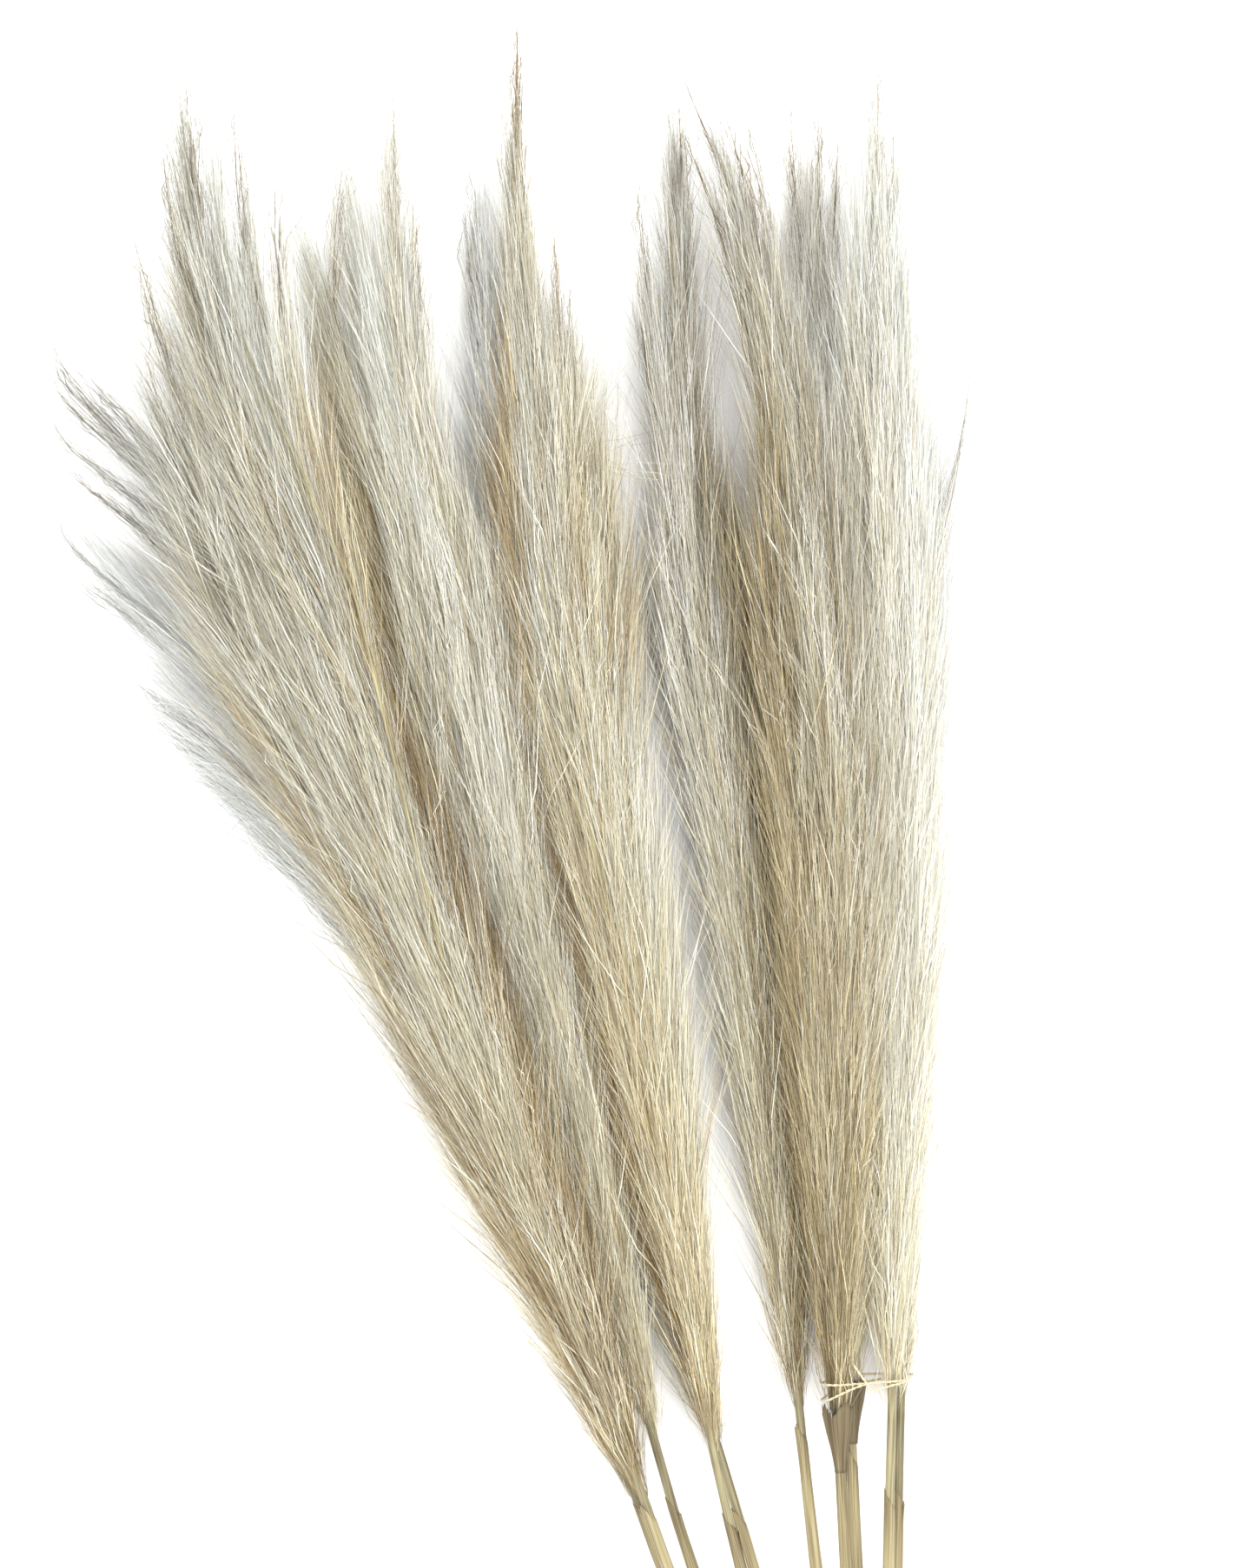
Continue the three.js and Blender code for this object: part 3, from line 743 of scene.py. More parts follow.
def hair_needle():
    """One hair of unit length and radius: two slim points that meet at a three-sided ring, a little bent."""
    bend, ring = 14, 0.42
    mesh = bpy.data.meshes.new("hair_needle")
    points = [(0, 0, 0)]
    for k in range(3):
        angle = 2 * math.pi * k / 3
        points.append((math.cos(angle) - bend, math.sin(angle), ring))
    points.append((bend, 0, 1))
    faces = []
    for k in range(3):
        following = (k + 1) % 3
        faces += [(0, 1 + following, 1 + k), (1 + k, 1 + following, 4)]
    mesh.from_pydata(points, [], faces)
    mesh.attributes.new("along", "FLOAT", "POINT").data.foreach_set("value", [0, ring, ring, ring, 1])
    return add_object("hair_needle", mesh)


def hair_tree():
    """Hair along branches: guide lines in, branches and hairs out."""
    floats = ("Spacing", "Length", "Radius", "Branch Radius", "Flare", "Looseness", "Jitter")
    tree, given, result = new_tree("Plume Hair", {
        "Needle": "NodeSocketObject", "Seed": "NodeSocketInt", "Material": "NodeSocketMaterial",
        **dict.fromkeys(floats, "NodeSocketFloat"),
    })
    outward, reach, shade, thick = (
        add_node(tree, "GeometryNodeInputNamedAttribute", {"Name": title}, data_type=kind)
        for title, kind in zip(("outward", "reach", "shade", "thick"), ("FLOAT_VECTOR", *["FLOAT"] * 3))
    )
    seeds = [
        add_node(tree, "ShaderNodeMath", {0: given["Seed"], 1: k * SEED_STEP}, operation="ADD")
        for k in range(7)
    ]
    ways = {0: (-1, -1, -1), 1: (1, 1, 1)}
    stray, roll, around = (
        add_node(tree, "FunctionNodeRandomValue", {**ways, "Seed": seed}, data_type="FLOAT_VECTOR")
        for seed in seeds[:3]
    )
    # a random number has its limits at inputs 2 and 3 and its result at output 1
    length, coarse, tint, wild = (
        add_node(tree, "FunctionNodeRandomValue", {2: low, 3: high, "Seed": seed}).outputs[1]
        for seed, (low, high) in zip(seeds[3:], ((0.5, 1.0), (0.0, 1.0), (-0.24, 0.24), (0.0, 1.0)))
    )

    branch = add_node(tree, "GeometryNodeMeshToCurve", {"Mesh": given["Geometry"]}).outputs[0]
    roots = add_node(
        tree, "GeometryNodeCurveToPoints", {"Curve": branch, "Length": given["Spacing"]}, mode="LENGTH"
    ).outputs

    # a hair follows its branch, leans out of the plume and strays a little, and a few stray far
    flared = add_node(tree, "ShaderNodeVectorMath", {0: outward, "Scale": given["Flare"]}, operation="SCALE")
    lean = add_node(tree, "ShaderNodeVectorMath", {0: roots["Tangent"], 1: flared}, operation="ADD")
    wild = add_node(tree, "ShaderNodeMath", {0: wild, 1: 5.0}, operation="POWER")
    wild = add_node(tree, "ShaderNodeMath", {0: wild, 1: 4.5, 2: 0.6}, operation="MULTIPLY_ADD")
    wild = add_node(tree, "ShaderNodeMath", {0: given["Looseness"], 1: wild}, operation="MULTIPLY")
    stray = add_node(tree, "ShaderNodeVectorMath", {0: stray, "Scale": wild}, operation="SCALE")
    lean = add_node(tree, "ShaderNodeVectorMath", {0: lean, 1: stray}, operation="ADD")
    roll = add_node(tree, "ShaderNodeVectorMath", {0: outward, 1: roll}, operation="ADD")
    turned = add_node(
        tree, "FunctionNodeAxesToRotation", {"Primary Axis": lean, "Secondary Axis": roll},
        primary_axis="Z", secondary_axis="X",
    )
    offset = add_node(tree, "ShaderNodeVectorMath", {0: around, "Scale": given["Jitter"]}, operation="SCALE")
    moved = add_node(tree, "GeometryNodeSetPosition", {"Geometry": roots["Points"], "Offset": offset})

    # most hairs are fine, and a few are more than twice as thick
    length = add_node(tree, "ShaderNodeMath", {0: length, 1: given["Length"]}, operation="MULTIPLY")
    length = add_node(tree, "ShaderNodeMath", {0: length, 1: reach}, operation="MULTIPLY")
    coarse = add_node(tree, "ShaderNodeMath", {0: coarse, 1: 7.0}, operation="POWER")
    coarse = add_node(tree, "ShaderNodeMath", {0: coarse, 1: 1.7, 2: 0.75}, operation="MULTIPLY_ADD")
    radius = add_node(tree, "ShaderNodeMath", {0: coarse, 1: given["Radius"]}, operation="MULTIPLY")
    size = add_node(
        tree, "ShaderNodeCombineXYZ", {0: radius, 1: radius, 2: length}
    )
    needle = add_node(tree, "GeometryNodeObjectInfo", {"Object": given["Needle"]})
    hairs = add_node(tree, "GeometryNodeInstanceOnPoints", {
        "Points": moved, "Instance": needle.outputs["Geometry"], "Rotation": turned,
        "Scale": size,
    })
    tinted = add_node(tree, "ShaderNodeMath", {0: shade, 1: tint}, operation="ADD")
    hairs = add_node(tree, "GeometryNodeStoreNamedAttribute", {
        "Geometry": hairs, "Name": "shade", "Value": tinted,
    }, data_type="FLOAT", domain="INSTANCE")

    profile = add_node(tree, "GeometryNodeCurvePrimitiveCircle", {"Resolution": 3, "Radius": 1.0})
    thick = add_node(tree, "ShaderNodeMath", {0: thick, 1: given["Branch Radius"]}, operation="MULTIPLY")
    rods = add_node(tree, "GeometryNodeCurveToMesh", {
        "Curve": branch, "Profile Curve": profile, "Scale": thick, "Fill Caps": True,
    })
    whole = add_node(tree, "GeometryNodeJoinGeometry")
    for part in (rods, hairs):
        tree.links.new(part.outputs[0], whole.inputs[0])
    real = add_node(tree, "GeometryNodeRealizeInstances", {"Geometry": whole})
    done = add_node(tree, "GeometryNodeSetMaterial", {"Geometry": real, "Material": given["Material"]})
    tree.links.new(done.outputs[0], result[0])
    return tree


def colour_map(mesh):
    """Turns the hairs' shade and warmth into the map that their materials read, paler towards each tip."""
    values = {}
    for title in ("shade", "warm", "along"):
        values[title] = np.zeros(len(mesh.vertices), np.float32)
        if title in mesh.attributes:
            mesh.attributes[title].data.foreach_get("value", values[title])
    corner = np.empty(len(mesh.loops), int)
    mesh.loops.foreach_get("vertex_index", corner)
    # a face whose corners all lie at one spot of the map would have no area there
    nudge = np.tile([0.0, 0.012, 0.006], len(mesh.loops) // 3 + 1)[:len(mesh.loops)]
    # a hair is darker at its root and lighter at its tip, as painted shade down among the hairs
    shade = values["shade"] - 0.18 + 0.34 * values["along"]
    first = np.clip(shade[corner] + nudge, 0.02, 0.98)
    straw = values["warm"] - 0.12 * values["along"] + 0.55 * (0.55 - shade)
    second = np.clip(straw[corner] + nudge[::-1], 0.02, 0.98)
    layer = mesh.uv_layers.new(name=HAIR_MAP)
    layer.data.foreach_set("uv", np.stack([first, second], axis=1).astype(np.float32).ravel())


class PAMPAS_OT_plumes(bpy.types.Operator):
    """Grow the hair of the eleven plumes"""

    bl_idname = "pampas.plumes"
    bl_label = "Plumes"

    def execute(self, context):
        sizes = context.scene.pampas_plumes
        materials = {}
        for slot, hair in ((CREAM, "cream"), (GREY, "grey")):
            cool, straw = tones(sizes, f"{hair}_cool"), tones(sizes, f"{hair}_straw")
            materials[slot] = plume_material(f"dried_pampas_hair_{hair}", cool, straw)
        tree = hair_tree()
        needle = hair_needle()
        spines = {index: Spine(f"plume_{index:02d}") for index in PLUME_LOOKS}
        room = {index: spine.length * (spine.left + spine.right).max() for index, spine in spines.items()}
        for index, look in PLUME_LOOKS.items():
            node = f"plume_{index:02d}"
            rng = np.random.default_rng(sizes.seed + index)
            rachis = rachis_line(spines[index], culm_spine(index), look)
            lines, values = lock_lines(spines[index], rachis, look, rng)
            total = sum(np.linalg.norm(np.diff(line, axis=0), axis=1).sum() for line in lines)
            hairs = min(HAIRS * room[index] / sum(room.values()), MOST_HAIRS)
            piece = grow(guide_mesh("guide", lines, values), tree, {
                "Needle": needle,
                "Spacing": total / hairs,
                "Length": sizes.hair_length,
                "Radius": sizes.hair_radius,
                "Branch Radius": sizes.branch_radius,
                "Flare": sizes.flare,
                "Looseness": sizes.loose,
                "Jitter": sizes.jitter,
                "Seed": sizes.seed + index,
                "Material": materials[look["slot"]],
            }, f"{node}_hair")
            mesh = piece.data
            points = np.empty(len(mesh.vertices) * 3, np.float32)
            mesh.vertices.foreach_get("co", points)
            points = points.reshape(-1, 3)
            settle(points)
            mesh.vertices.foreach_set("co", points.ravel())
            colour_map(mesh)
            finish_piece(piece, node, look["slot"])
        bpy.data.objects.remove(needle)
        return {"FINISHED"}


# ---------------------------------------------------------------- culms, sheaths and ties


# Where along its plume a rachis ends, and how thin it is there
RACHIS_END = 0.9
RACHIS_TIP_RADIUS = 0.35 * MM
# A culm's node: how many stations it is compared over, and the swelling that browns it fully
NODE_REACH = 12
NODE_SWELL = 0.3 * MM


def stalk_tree():
    """A ribbed rod along guide lines, as thick as their thick value says."""
    tree, given, result = new_tree("Ribbed Stalk", {
        "Ribs": "NodeSocketInt", "Rib Depth": "NodeSocketFloat", "Material": "NodeSocketMaterial",
    })
    line = add_node(tree, "GeometryNodeMeshToCurve", {"Mesh": given["Geometry"]})
    thick = add_node(tree, "GeometryNodeInputNamedAttribute", {"Name": "thick"}, data_type="FLOAT")

    # every second point of the outline goes inwards
    sides = add_node(tree, "ShaderNodeMath", {0: given["Ribs"], 1: 2.0}, operation="MULTIPLY")
    circle = add_node(tree, "GeometryNodeCurvePrimitiveCircle", {"Resolution": sides, "Radius": 1.0})
    number = add_node(tree, "GeometryNodeInputIndex")
    odd = add_node(tree, "ShaderNodeMath", {0: number, 1: 2.0}, operation="MODULO")
    groove = add_node(tree, "ShaderNodeMath", {0: odd, 1: given["Rib Depth"]}, operation="MULTIPLY")
    groove = add_node(tree, "ShaderNodeMath", {0: groove, 1: -1.0}, operation="MULTIPLY")
    spot = add_node(tree, "GeometryNodeInputPosition")
    shift = add_node(
        tree, "ShaderNodeVectorMath", {0: spot, "Scale": groove}, operation="SCALE"
    )
    ribbed = add_node(
        tree, "GeometryNodeSetPosition", {"Geometry": circle, "Offset": shift}
    )

    rod = add_node(tree, "GeometryNodeCurveToMesh", {
        "Curve": line, "Profile Curve": ribbed, "Scale": thick.outputs["Attribute"],
        "Fill Caps": True,
    })
    real = add_node(tree, "GeometryNodeRealizeInstances", {"Geometry": rod})
    done = add_node(tree, "GeometryNodeSetMaterial", {"Geometry": real, "Material": given["Material"]})
    tree.links.new(done.outputs[0], result[0])
    return tree


def grain_of_rod(mesh, sides, along, radius, index):
    """Millimetres round and along a rod for each of its points, which come ring by ring."""
    angle = np.tile(np.arange(sides) * 2 * math.pi / sides, len(along))
    far = np.repeat(along, sides)
    wide = np.repeat(radius, sides)
    grain = np.stack([np.cos(angle) * wide, np.sin(angle) * wide, far + index * 0.731], axis=1) / MM
    return grain[:len(mesh.vertices)]


class PAMPAS_OT_culms(bpy.types.Operator):
    """Build the eleven culms, each running on as the rachis of its plume"""

    bl_idname = "pampas.culms"
    bl_label = "Culms"

    def execute(self, context):
        sizes = context.scene.pampas_stalks
        tree = stalk_tree()
        # dried grass stem with its own waxy skin, which gives long fine streaks and a dull gloss
        material = fibre_material(
            "dried_grass_culm_waxy_skin", tones(sizes, "culm"), streak_mm=0.6, length_mm=30, roughness=0.42,
            bump_mm=0.12,
        )
        for index, look in PLUME_LOOKS.items():
            node = f"culm_{index:02d}"
            culm = culm_spine(index)
            radius = (culm.left + culm.right + culm.top - culm.bottom) / 4
            radius[0], radius[-1] = radius[1], radius[-2]
            share, inside = rachis_line(Spine(f"plume_{index:02d}"), culm, look)
            inside, share = inside[share < RACHIS_END], share[share < RACHIS_END]
            line = np.concatenate([culm.line, inside])
            thin = np.interp(share, [0, 0.1, RACHIS_END], [radius[-1], radius[-1] * 0.8, RACHIS_TIP_RADIUS])
            thick = np.concatenate([radius, thin])
            piece = grow(guide_mesh("guide", [line], {"thick": thick}), tree, {
                "Ribs": sizes.ribs, "Rib Depth": sizes.rib_depth, "Material": material,
            }, f"{node}_stalk")
            sides = 2 * sizes.ribs
            store(piece.data, "grain", grain_of_rod(piece.data, sides, walked(line), thick, index))
            # browned at its nodes, where it is thicker than round about, and at its cut end
            window = np.ones(2 * NODE_REACH + 1) / (2 * NODE_REACH + 1)
            usual = np.convolve(np.pad(thick, NODE_REACH, "edge"), window, "valid")
            swell = np.clip((thick - usual) / NODE_SWELL, 0, 1)
            darkened = 0.28 * swell + 0.05 * math.sin(index * 2.4)
            darkened[len(radius):] -= 0.04
            darkened[:3] += 0.1
            store(piece.data, "age", np.repeat(darkened, sides)[:len(piece.data.vertices)])
            finish_piece(piece, node, "culm")
        return {"FINISHED"}


def shell(name, walls):
    """Closed thin walls, each between two grids of points: rows along the piece, columns across it."""
    points, faces = [], []
    for outside, inside in walls:
        rows, columns = outside.shape[:2]
        number = np.arange(rows * columns).reshape(rows, columns) + sum(len(part) for part in points)
        under = number + rows * columns
        points += [outside.reshape(-1, 3), inside.reshape(-1, 3)]
        for r in range(rows - 1):
            for c in range(columns - 1):
                faces.append((number[r, c], number[r, c + 1], number[r + 1, c + 1], number[r + 1, c]))
                faces.append((under[r, c], under[r + 1, c], under[r + 1, c + 1], under[r, c + 1]))
        for r in range(rows - 1):
            faces.append((number[r, 0], number[r + 1, 0], under[r + 1, 0], under[r, 0]))
            faces.append((number[r + 1, -1], number[r, -1], under[r, -1], under[r + 1, -1]))
        for c in range(columns - 1):
            faces.append((number[0, c + 1], number[0, c], under[0, c], under[0, c + 1]))
            faces.append((number[-1, c], number[-1, c + 1], under[-1, c + 1], under[-1, c]))
    mesh = bpy.data.meshes.new(name)
    mesh.from_pydata(np.concatenate(points).tolist(), [], [tuple(int(i) for i in face) for face in faces])
    return mesh


SHEATH_SEED = 500
SHEATH_ROWS = 46
SHEATH_COLUMNS = 38
# How far past a full turn a sheath wraps, in radians
SHEATH_OVERLAP = 1.1
BRACT_ROWS = 14
BRACT_COLUMNS = 16
# For each stalk that has them: the way its bracts open, from its right over its top, and half their spread
BRACTS = {8: ((0.9, 1.1), (2.6, 0.7)), 9: ((2.3, 1.1), (0.6, 0.7))}


def rolled(culm, share, turn, reaches, torn):
    """The outer and inner grid of a leaf rolled round a culm or straight on past it, with a torn far edge."""
    beyond = np.clip(share - 1, 0, None)[:, None] * culm.length
    within = np.clip(share, 0, 1)
    tangent, side = culm.at(within, culm.tangent), culm.at(within, culm.side)
    centre = culm.at(within, culm.line) + tangent * beyond
    up = np.cross(side, tangent)
    grids = []
    for reach in reaches:
        angle = turn[None, :, None]
        around = side[:, None, :] * np.cos(angle) + up[:, None, :] * np.sin(angle)
        grid = centre[:, None, :] + around * reach[:, :, None]
        for back, much in ((1, 1.0), (2, 0.6), (3, 0.25)):
            grid[-back] += tangent[-back] * (torn * much)[:, None]
        grids.append(grid)
    return grids


class PAMPAS_OT_sheaths(bpy.types.Operator):
    """Roll a thin dried leaf sheath round each culm, and add the papery bracts at two plume feet"""

    bl_idname = "pampas.sheaths"
    bl_label = "Leaf Sheaths"

    def execute(self, context):
        sizes = context.scene.pampas_stalks
        # dried leaf, papery and ribbed along its veins, which gives clear streaks and almost no gloss
        material = fibre_material(
            "dried_leaf_sheath_papery", tones(sizes, "sheath"), streak_mm=0.5, length_mm=40, roughness=0.62,
            bump_mm=0.2, depth=0.8,
        )
        for index in PLUME_LOOKS:
            node = f"sheath_{index:02d}"
            rng = np.random.default_rng(SHEATH_SEED + index)
            culm = culm_spine(index)
            walls, grains, ages = [], [], []
            leaf = self.sheath(sizes, culm, node, index, rng)
            for wall, grain, age in (leaf, *self.bracts(culm, index, rng)):
                walls.append(wall)
                grains += [grain, grain]
                ages += [age, age]
            mesh = shell(f"{node}_leaf", walls)
            store(mesh, "grain", np.concatenate(grains))
            store(mesh, "age", np.concatenate(ages))
            mesh.materials.append(material)
            finish_piece(add_object(mesh.name, mesh), node, "sheath")
        return {"FINISHED"}

    def sheath(self, sizes, culm, node, index, rng):
        """A leaf wrapped round its culm, with a peeling torn mouth."""
        low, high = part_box(node)
        foot = np.interp(low.y, culm.line[:, 1], culm.share)
        mouth = np.interp(high.y, culm.line[:, 1], culm.share)
        row = np.linspace(0, 1, SHEATH_ROWS)
        share = foot + (mouth - foot) * row**0.9
        seam = rng.uniform(0, 2 * math.pi)
        turn = np.linspace(0, 2 * math.pi + SHEATH_OVERLAP, SHEATH_COLUMNS)
        wound = turn / turn[-1]
        peel = np.clip((row - 0.86) / 0.14, 0, 1)[:, None] ** 2 * np.clip((wound - 0.75) / 0.25, 0, 1)
        torn = np.interp(wound, np.linspace(0, 1, 14), rng.uniform(-1.4, 1.4, 14)) - 4.5 * np.cos(turn + seam)
        ripple = 0.04 * MM * np.cos(turn * 18)
        radius = culm.at(share, (culm.left + culm.right) / 2)
        snug = np.interp(row, [0, 0.5, 1], [1, 1, 0.35])[:, None]
        inner = radius[:, None] + (sizes.sheath_gap + 0.4 * MM * wound[None, :]) * snug + peel * 0.9 * MM
        outer = inner + sizes.sheath_wall * snug + ripple
        walls = rolled(culm, share, turn + seam, (outer, inner), torn * MM)
        along = (share * culm.length / MM)[:, None] + index * 613.0
        grain = np.stack(np.broadcast_arrays(np.cos(turn) * 4, np.sin(turn) * 4, along), axis=-1)
        brown = 0.14 * np.clip((row - 0.8) / 0.2, 0, 1) + 0.1 * np.clip((0.06 - row) / 0.06, 0, 1)
        return walls, grain.reshape(-1, 3), np.repeat(brown + 0.06 * math.sin(index * 1.7), SHEATH_COLUMNS)

    def bracts(self, culm, index, rng):
        """Brown papery scales that open round the foot of a plume."""
        for opening, span in BRACTS.get(index, ()):
            row = np.linspace(0, 1, BRACT_ROWS)
            share = np.linspace(1 - 13 * MM / culm.length, 1 + 12 * MM / culm.length, BRACT_ROWS)
            turn = opening + np.linspace(-span, span, BRACT_COLUMNS)
            torn = rng.uniform(-1.5, 1.5, BRACT_COLUMNS) + 7 * np.cos(np.linspace(-1.4, 1.4, BRACT_COLUMNS))
            wide = culm.right[-2] + 0.35 * MM + 4.5 * MM * row[:, None] ** 1.4 * np.ones(BRACT_COLUMNS)
            wide += 0.25 * MM * np.cos(turn * 9) * row[:, None]
            walls = rolled(culm, share, turn, (wide + 0.15 * MM, wide), torn * MM)
            along = (share * culm.length / MM)[:, None] + index * 217.0
            grain = np.stack(np.broadcast_arrays(turn * 5, turn * 5, along), axis=-1).reshape(-1, 3)
            yield walls, grain, np.full(len(grain), 0.3)


PLY_SIDES = 6
# How far apart the grain of neighbouring plies is, so that their streaks differ
PLY_SHIFT_MM = 97
# The air between the culms' outer skin and the twine, and between a plume and the strand
TWINE_AIR = 0.3 * MM
STRAND_AIR = 2.6 * MM


def wrap_round(points, offset, count=72):
    """The outline of a tight loop round points in the XZ plane, kept a distance away from them."""
    outline = []
    for angle in np.linspace(0, 2 * math.pi, count, endpoint=False):
        way = np.array([math.cos(angle), math.sin(angle)])
        outline.append(points[(points @ way).argmax()] + way * offset)
    return np.array(outline + outline[:1])


def twisted(line, plies, offset, pitch):
    """Plies that wind round a line, each as a line of its own."""
    far = walked(line)
    tangent = np.gradient(line, axis=0)
    tangent /= np.linalg.norm(tangent, axis=1)[:, None]
    # a first side that no line here starts along, carried on so that it never jumps round
    side = np.cross(tangent[0], [0.0, 1.0, 0.31])
    sides = []
    for along in tangent:
        side = side - along * (side @ along)
        side /= np.linalg.norm(side)
        sides.append(side)
    sides = np.array(sides)
    ups = np.cross(tangent, sides)
    result = []
    for ply in range(plies):
        angle = (far / pitch * 2 * math.pi + ply * 2 * math.pi / plies)[:, None]
        result.append(line + (sides * np.cos(angle) + ups * np.sin(angle)) * offset)
    return result


def evened(line, spacing):
    """A line with its points at even distances."""
    length = np.linalg.norm(np.diff(line, axis=0), axis=1).sum()
    return resample(line, max(8, int(length / spacing)))[0]


def spun(name, node, slot, lines, radius, material):
    """Turns plies into one piece with a grain of its own."""
    values = {"thick": np.concatenate([np.full(len(line), radius) * taper(len(line)) for line in lines])}
    piece = grow(guide_mesh("guide", lines, values), bpy.data.node_groups["Ribbed Stalk"], {
        "Ribs": PLY_SIDES // 2, "Rib Depth": 0.0, "Material": material,
    }, name)
    grain = []
    for k, line in enumerate(lines):
        angle = np.arange(PLY_SIDES) * 2 * math.pi / PLY_SIDES
        ring = np.stack([np.cos(angle), np.sin(angle)], axis=1) * radius / MM * 3
        ring = np.tile(ring, (len(line), 1))
        grain.append(np.column_stack([ring, np.repeat(walked(line) / MM, PLY_SIDES) + PLY_SHIFT_MM * k]))
    store(piece.data, "grain", np.concatenate(grain))
    finish_piece(piece, node, slot)


def taper(count):
    """Thins a ply's last few points at both ends."""
    spot = np.arange(count)
    return np.clip(np.minimum(spot, spot[::-1]) / 3 + 0.35, 0, 1)


class PAMPAS_OT_ties(bpy.types.Operator):
    """Wind the twine round the culms and the grass strand round four plume feet"""

    bl_idname = "pampas.ties"
    bl_label = "Ties"

    def execute(self, context):
        sizes = context.scene.pampas_stalks
        self.wind_twine(sizes)
        self.wind_strand(sizes)
        return {"FINISHED"}

    def wind_twine(self, sizes):
        """Turns of three-ply twine round all culms, an overhand knot on top and its two short ends."""
        low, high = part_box("twine_tie")
        level = (low.y + high.y) / 2
        wide = sizes.twine_radius
        centres = []
        for index in PLUME_LOOKS:
            culm = culm_spine(index)
            share = np.interp([level - 2.5 * wide, level, level + 2.5 * wide], culm.line[:, 1], culm.share)
            centres.append(culm.at(share, culm.line)[:, [0, 2]])
            radius = float(culm.at(share, (culm.left + culm.right) / 2).max())
        loop = wrap_round(np.concatenate(centres), radius + TWINE_AIR + wide)
        loop = evened(np.column_stack([loop[:, 0], np.zeros(len(loop)), loop[:, 1]]), 1.0 * MM)[:-1]
        start = int(loop[:, 2].argmax())
        loop = np.roll(loop, -start, axis=0)
        turns = np.tile(loop, (sizes.twine_turns, 1))
        rise = np.linspace(-1, 1, len(turns)) * (sizes.twine_turns - 1) * wide
        turns[:, 1] = level + rise
        middle_x = (low.x + high.x) / 2
        top = high.z - 3.4 * MM
        angle = np.linspace(0.5, 2 * math.pi + 0.2, 70)
        knot = np.column_stack([
            middle_x + (np.sin(angle) + 2 * np.sin(2 * angle)) * 1.75 * MM,
            level + (np.cos(angle) - 2 * np.cos(2 * angle)) * 1.3 * MM,
            top - np.sin(3 * angle) * 1.5 * MM,
        ])
        tails = []
        for way in (-1, 1):
            reach = np.linspace(0, 1, 24)
            tails.append(np.column_stack([
                middle_x + way * (3 + 11 * reach) * MM,
                level + (way * -1.5 + 5.5 * reach**2) * MM,
                top + (0.6 + 1.6 * np.sin(reach * 2.6) - 2.2 * reach) * MM,
            ]))
        plies = []
        for line in (turns, knot, *tails):
            plies += twisted(evened(line, 0.9 * MM), 3, wide * 0.52, 7.5 * MM)
        # jute, spun and laid in three plies, which gives a coarse matt yarn with short dark and light fibres
        material = fibre_material(
            "jute_twine_three_ply", tones(sizes, "twine"), streak_mm=0.3, length_mm=3, roughness=0.85,
            bump_mm=0.3, depth=0.9,
        )
        spun("twine_tie_plies", "twine_tie", "twine", plies, wide * 0.5, material)

    def wind_strand(self, sizes):
        """Two slanting turns of a fine strand round the four right-hand plume feet, and its loose end."""
        low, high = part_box("binding_strand")
        level = (low.y + high.y) / 2
        around = []
        for index in (8, 9, 10, 11):
            points, triangles = mesh_arrays(f"plume_{index:02d}")
            origin = np.array([(low.x + high.x) / 2, level, (low.z + high.z) / 2])
            around.append(cut(points, triangles, origin, np.array([0.0, 1.0, 0.0]), 60 * MM)[:, [0, 2]])
        loop = wrap_round(np.concatenate(around), STRAND_AIR)
        loop = evened(np.column_stack([loop[:, 0], np.zeros(len(loop)), loop[:, 1]]), 1.0 * MM)[:-1]
        middle_x = (low.x + high.x) / 2
        upper = loop[:, 2] > loop[:, 2].mean()
        start = int(np.where(upper, abs(loop[:, 0] - middle_x), 1).argmin())
        turns = np.tile(np.roll(loop, -start, axis=0), (2, 1))
        slant = np.interp(np.arange(len(turns)), [0, len(loop), 1.15 * len(loop)], [0.02, 0.02, 0.19])
        turns[:, 1] = level + 2.2 * MM + (turns[:, 0] - high.x) * slant
        reach = np.linspace(0, 1, 20)[:, None]
        tail = turns[-1] + reach * np.array([-9.0, 13.0, 1.5]) * MM
        tail[:, 2] += np.sin(reach[:, 0] * math.pi) * 1.5 * MM
        plies = []
        for line in (turns, tail):
            plies += twisted(evened(line, 0.6 * MM), 2, sizes.strand_radius * 0.5, 6 * MM)
        # split dry grass twisted by hand in two plies, which gives a pale strand with a slight gloss
        material = fibre_material(
            "twisted_grass_strand", tones(sizes, "strand"), streak_mm=0.25, length_mm=5, roughness=0.6,
            bump_mm=0.1,
        )
        spun("binding_strand_plies", "binding_strand", "strand", plies, sizes.strand_radius * 0.52, material)


# ---------------------------------------------------------------- stage


FLOOR_HALF = 6.0
# Lights look at the middle of the frame: place, and width
KEY_LIGHT = ((0.7, 0.6, 2.6), 1.6)
FILL_LIGHT = ((-1.5, -0.3, 2.3), 2.0)
# The camera looks straight down from far above the bundle's half height. It sees this much of the floor at
# that height, from this far past the bundle's left and top.
CAMERA_RISE = 2.0
HALF_HEIGHT = 0.045
SEEN_WIDTH, SEEN_LENGTH = 0.578, 0.7224
LEFT_MARGIN, TOP_MARGIN = 0.0386, 0.0297
SENSOR_MM = 36


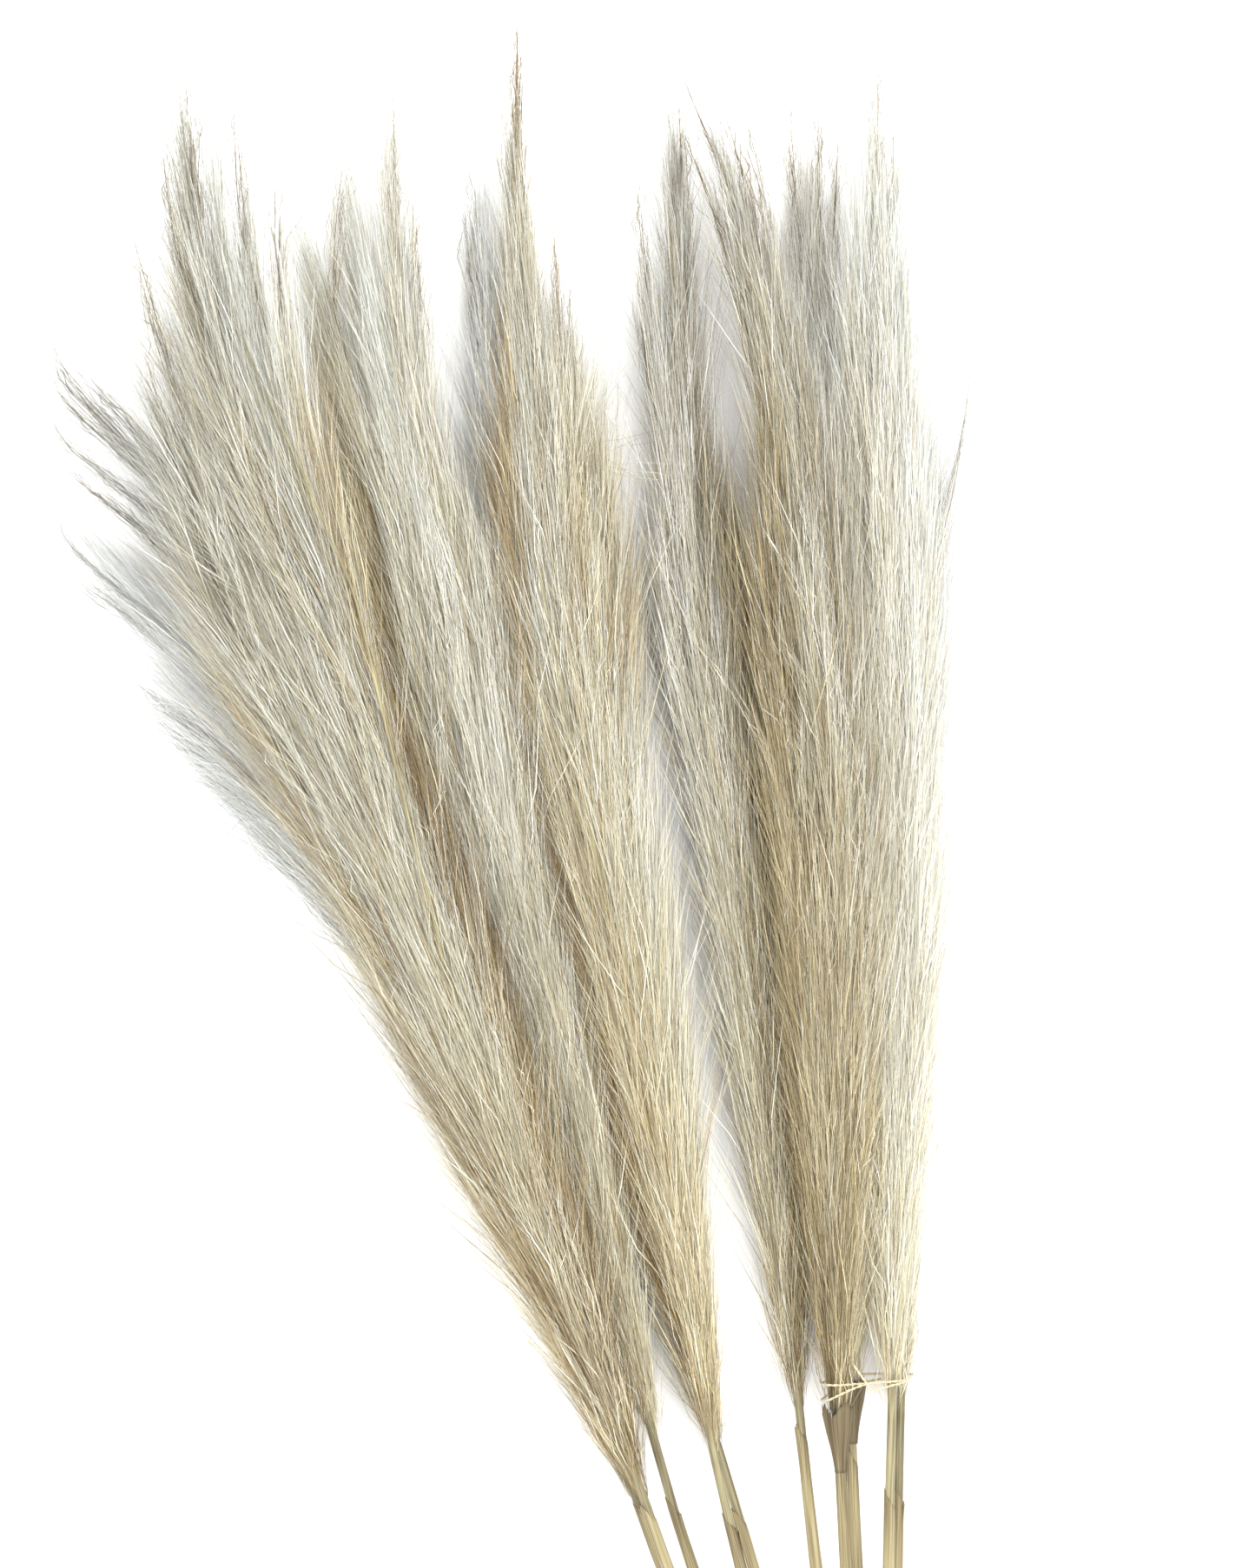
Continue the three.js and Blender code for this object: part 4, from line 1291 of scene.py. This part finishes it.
class PAMPAS_OT_stage(bpy.types.Operator):
    """Set the pale floor, the soft lights and the camera above the bundle"""

    bl_idname = "pampas.stage"
    bl_label = "Stage"

    def execute(self, context):
        scene = context.scene
        sizes = scene.pampas_stage
        half = FLOOR_HALF
        mesh = bpy.data.meshes.new("floor")
        corners = [(-half, -half, 0), (half, -half, 0), (half, half, 0), (-half, half, 0)]
        mesh.from_pydata(corners, [], [(0, 1, 2, 3)])
        # matt white paper, which gives a plain floor with soft shadows and no shine
        material, tree, shader = new_material("matt_white_paper")
        set_inputs(tree, shader, {"Base Color": sizes.floor, "Roughness": 0.9})
        mesh.materials.append(material)
        add_object("floor", mesh)

        world = bpy.data.worlds.new("studio")
        world.use_nodes = True
        background = world.node_tree.nodes["Background"]
        set_inputs(world.node_tree, background, {"Color": sizes.walls, "Strength": sizes.walls_strength})
        scene.world = world
        scene.view_settings.view_transform = "Standard"
        for title, (place, width), power in (
            ("key", KEY_LIGHT, sizes.key_power),
            ("fill", FILL_LIGHT, sizes.fill_power),
        ):
            light = bpy.data.lights.new(title, "AREA")
            light.energy = power
            light.size = width
            lamp = add_object(title, light)
            lamp.location = place
            lamp.rotation_euler = (-Vector(place)).to_track_quat("-Z", "Y").to_euler()

        low, high = (Vector(corner) for corner in CAD_BOX)
        lens = bpy.data.cameras.new("camera")
        lens.sensor_width = SENSOR_MM
        lens.lens = SENSOR_MM * CAMERA_RISE / SEEN_LENGTH
        camera = add_object("camera", lens)
        middle_x = low.x - LEFT_MARGIN + SEEN_WIDTH / 2
        middle_y = high.y + TOP_MARGIN - SEEN_LENGTH / 2
        camera.location = (middle_x, middle_y, HALF_HEIGHT + CAMERA_RISE)
        scene.camera = camera
        return {"FINISHED"}


class PAMPAS_PT_panel(bpy.types.Panel):
    """Sidebar panel of the bundle's builders"""

    bl_idname = "PAMPAS_PT_panel"
    bl_label = "Pampas Grass Bundle"
    bl_space_type = "VIEW_3D"
    bl_region_type = "UI"
    bl_category = "Pampas"

    def draw(self, context):
        for operator in OPERATORS:
            self.layout.operator(operator.bl_idname)
        for name, group in SETTINGS.items():
            box = self.layout.box()
            for field in group.__annotations__:
                box.prop(getattr(context.scene, name), field)


OPERATORS = (PAMPAS_OT_culms, PAMPAS_OT_sheaths, PAMPAS_OT_ties, PAMPAS_OT_plumes, PAMPAS_OT_stage)
SETTINGS = {"pampas_plumes": PlumeSettings, "pampas_stalks": StalkSettings, "pampas_stage": StageSettings}
CLASSES = (*SETTINGS.values(), *OPERATORS, PAMPAS_PT_panel)


def register():
    """Makes the settings, the operators and the panel known."""
    for each in CLASSES:
        bpy.utils.register_class(each)
    for name, group in SETTINGS.items():
        setattr(bpy.types.Scene, name, bpy.props.PointerProperty(type=group))


def unregister():
    """Takes them away again."""
    for name in SETTINGS:
        delattr(bpy.types.Scene, name)
    for each in reversed(CLASSES):
        bpy.utils.unregister_class(each)


def main():
    """Builds every piece and the stage."""
    register()
    bpy.ops.pampas.culms()
    bpy.ops.pampas.sheaths()
    bpy.ops.pampas.ties()
    bpy.ops.pampas.plumes()
    bpy.ops.pampas.stage()


if __name__ == "__main__":
    main()
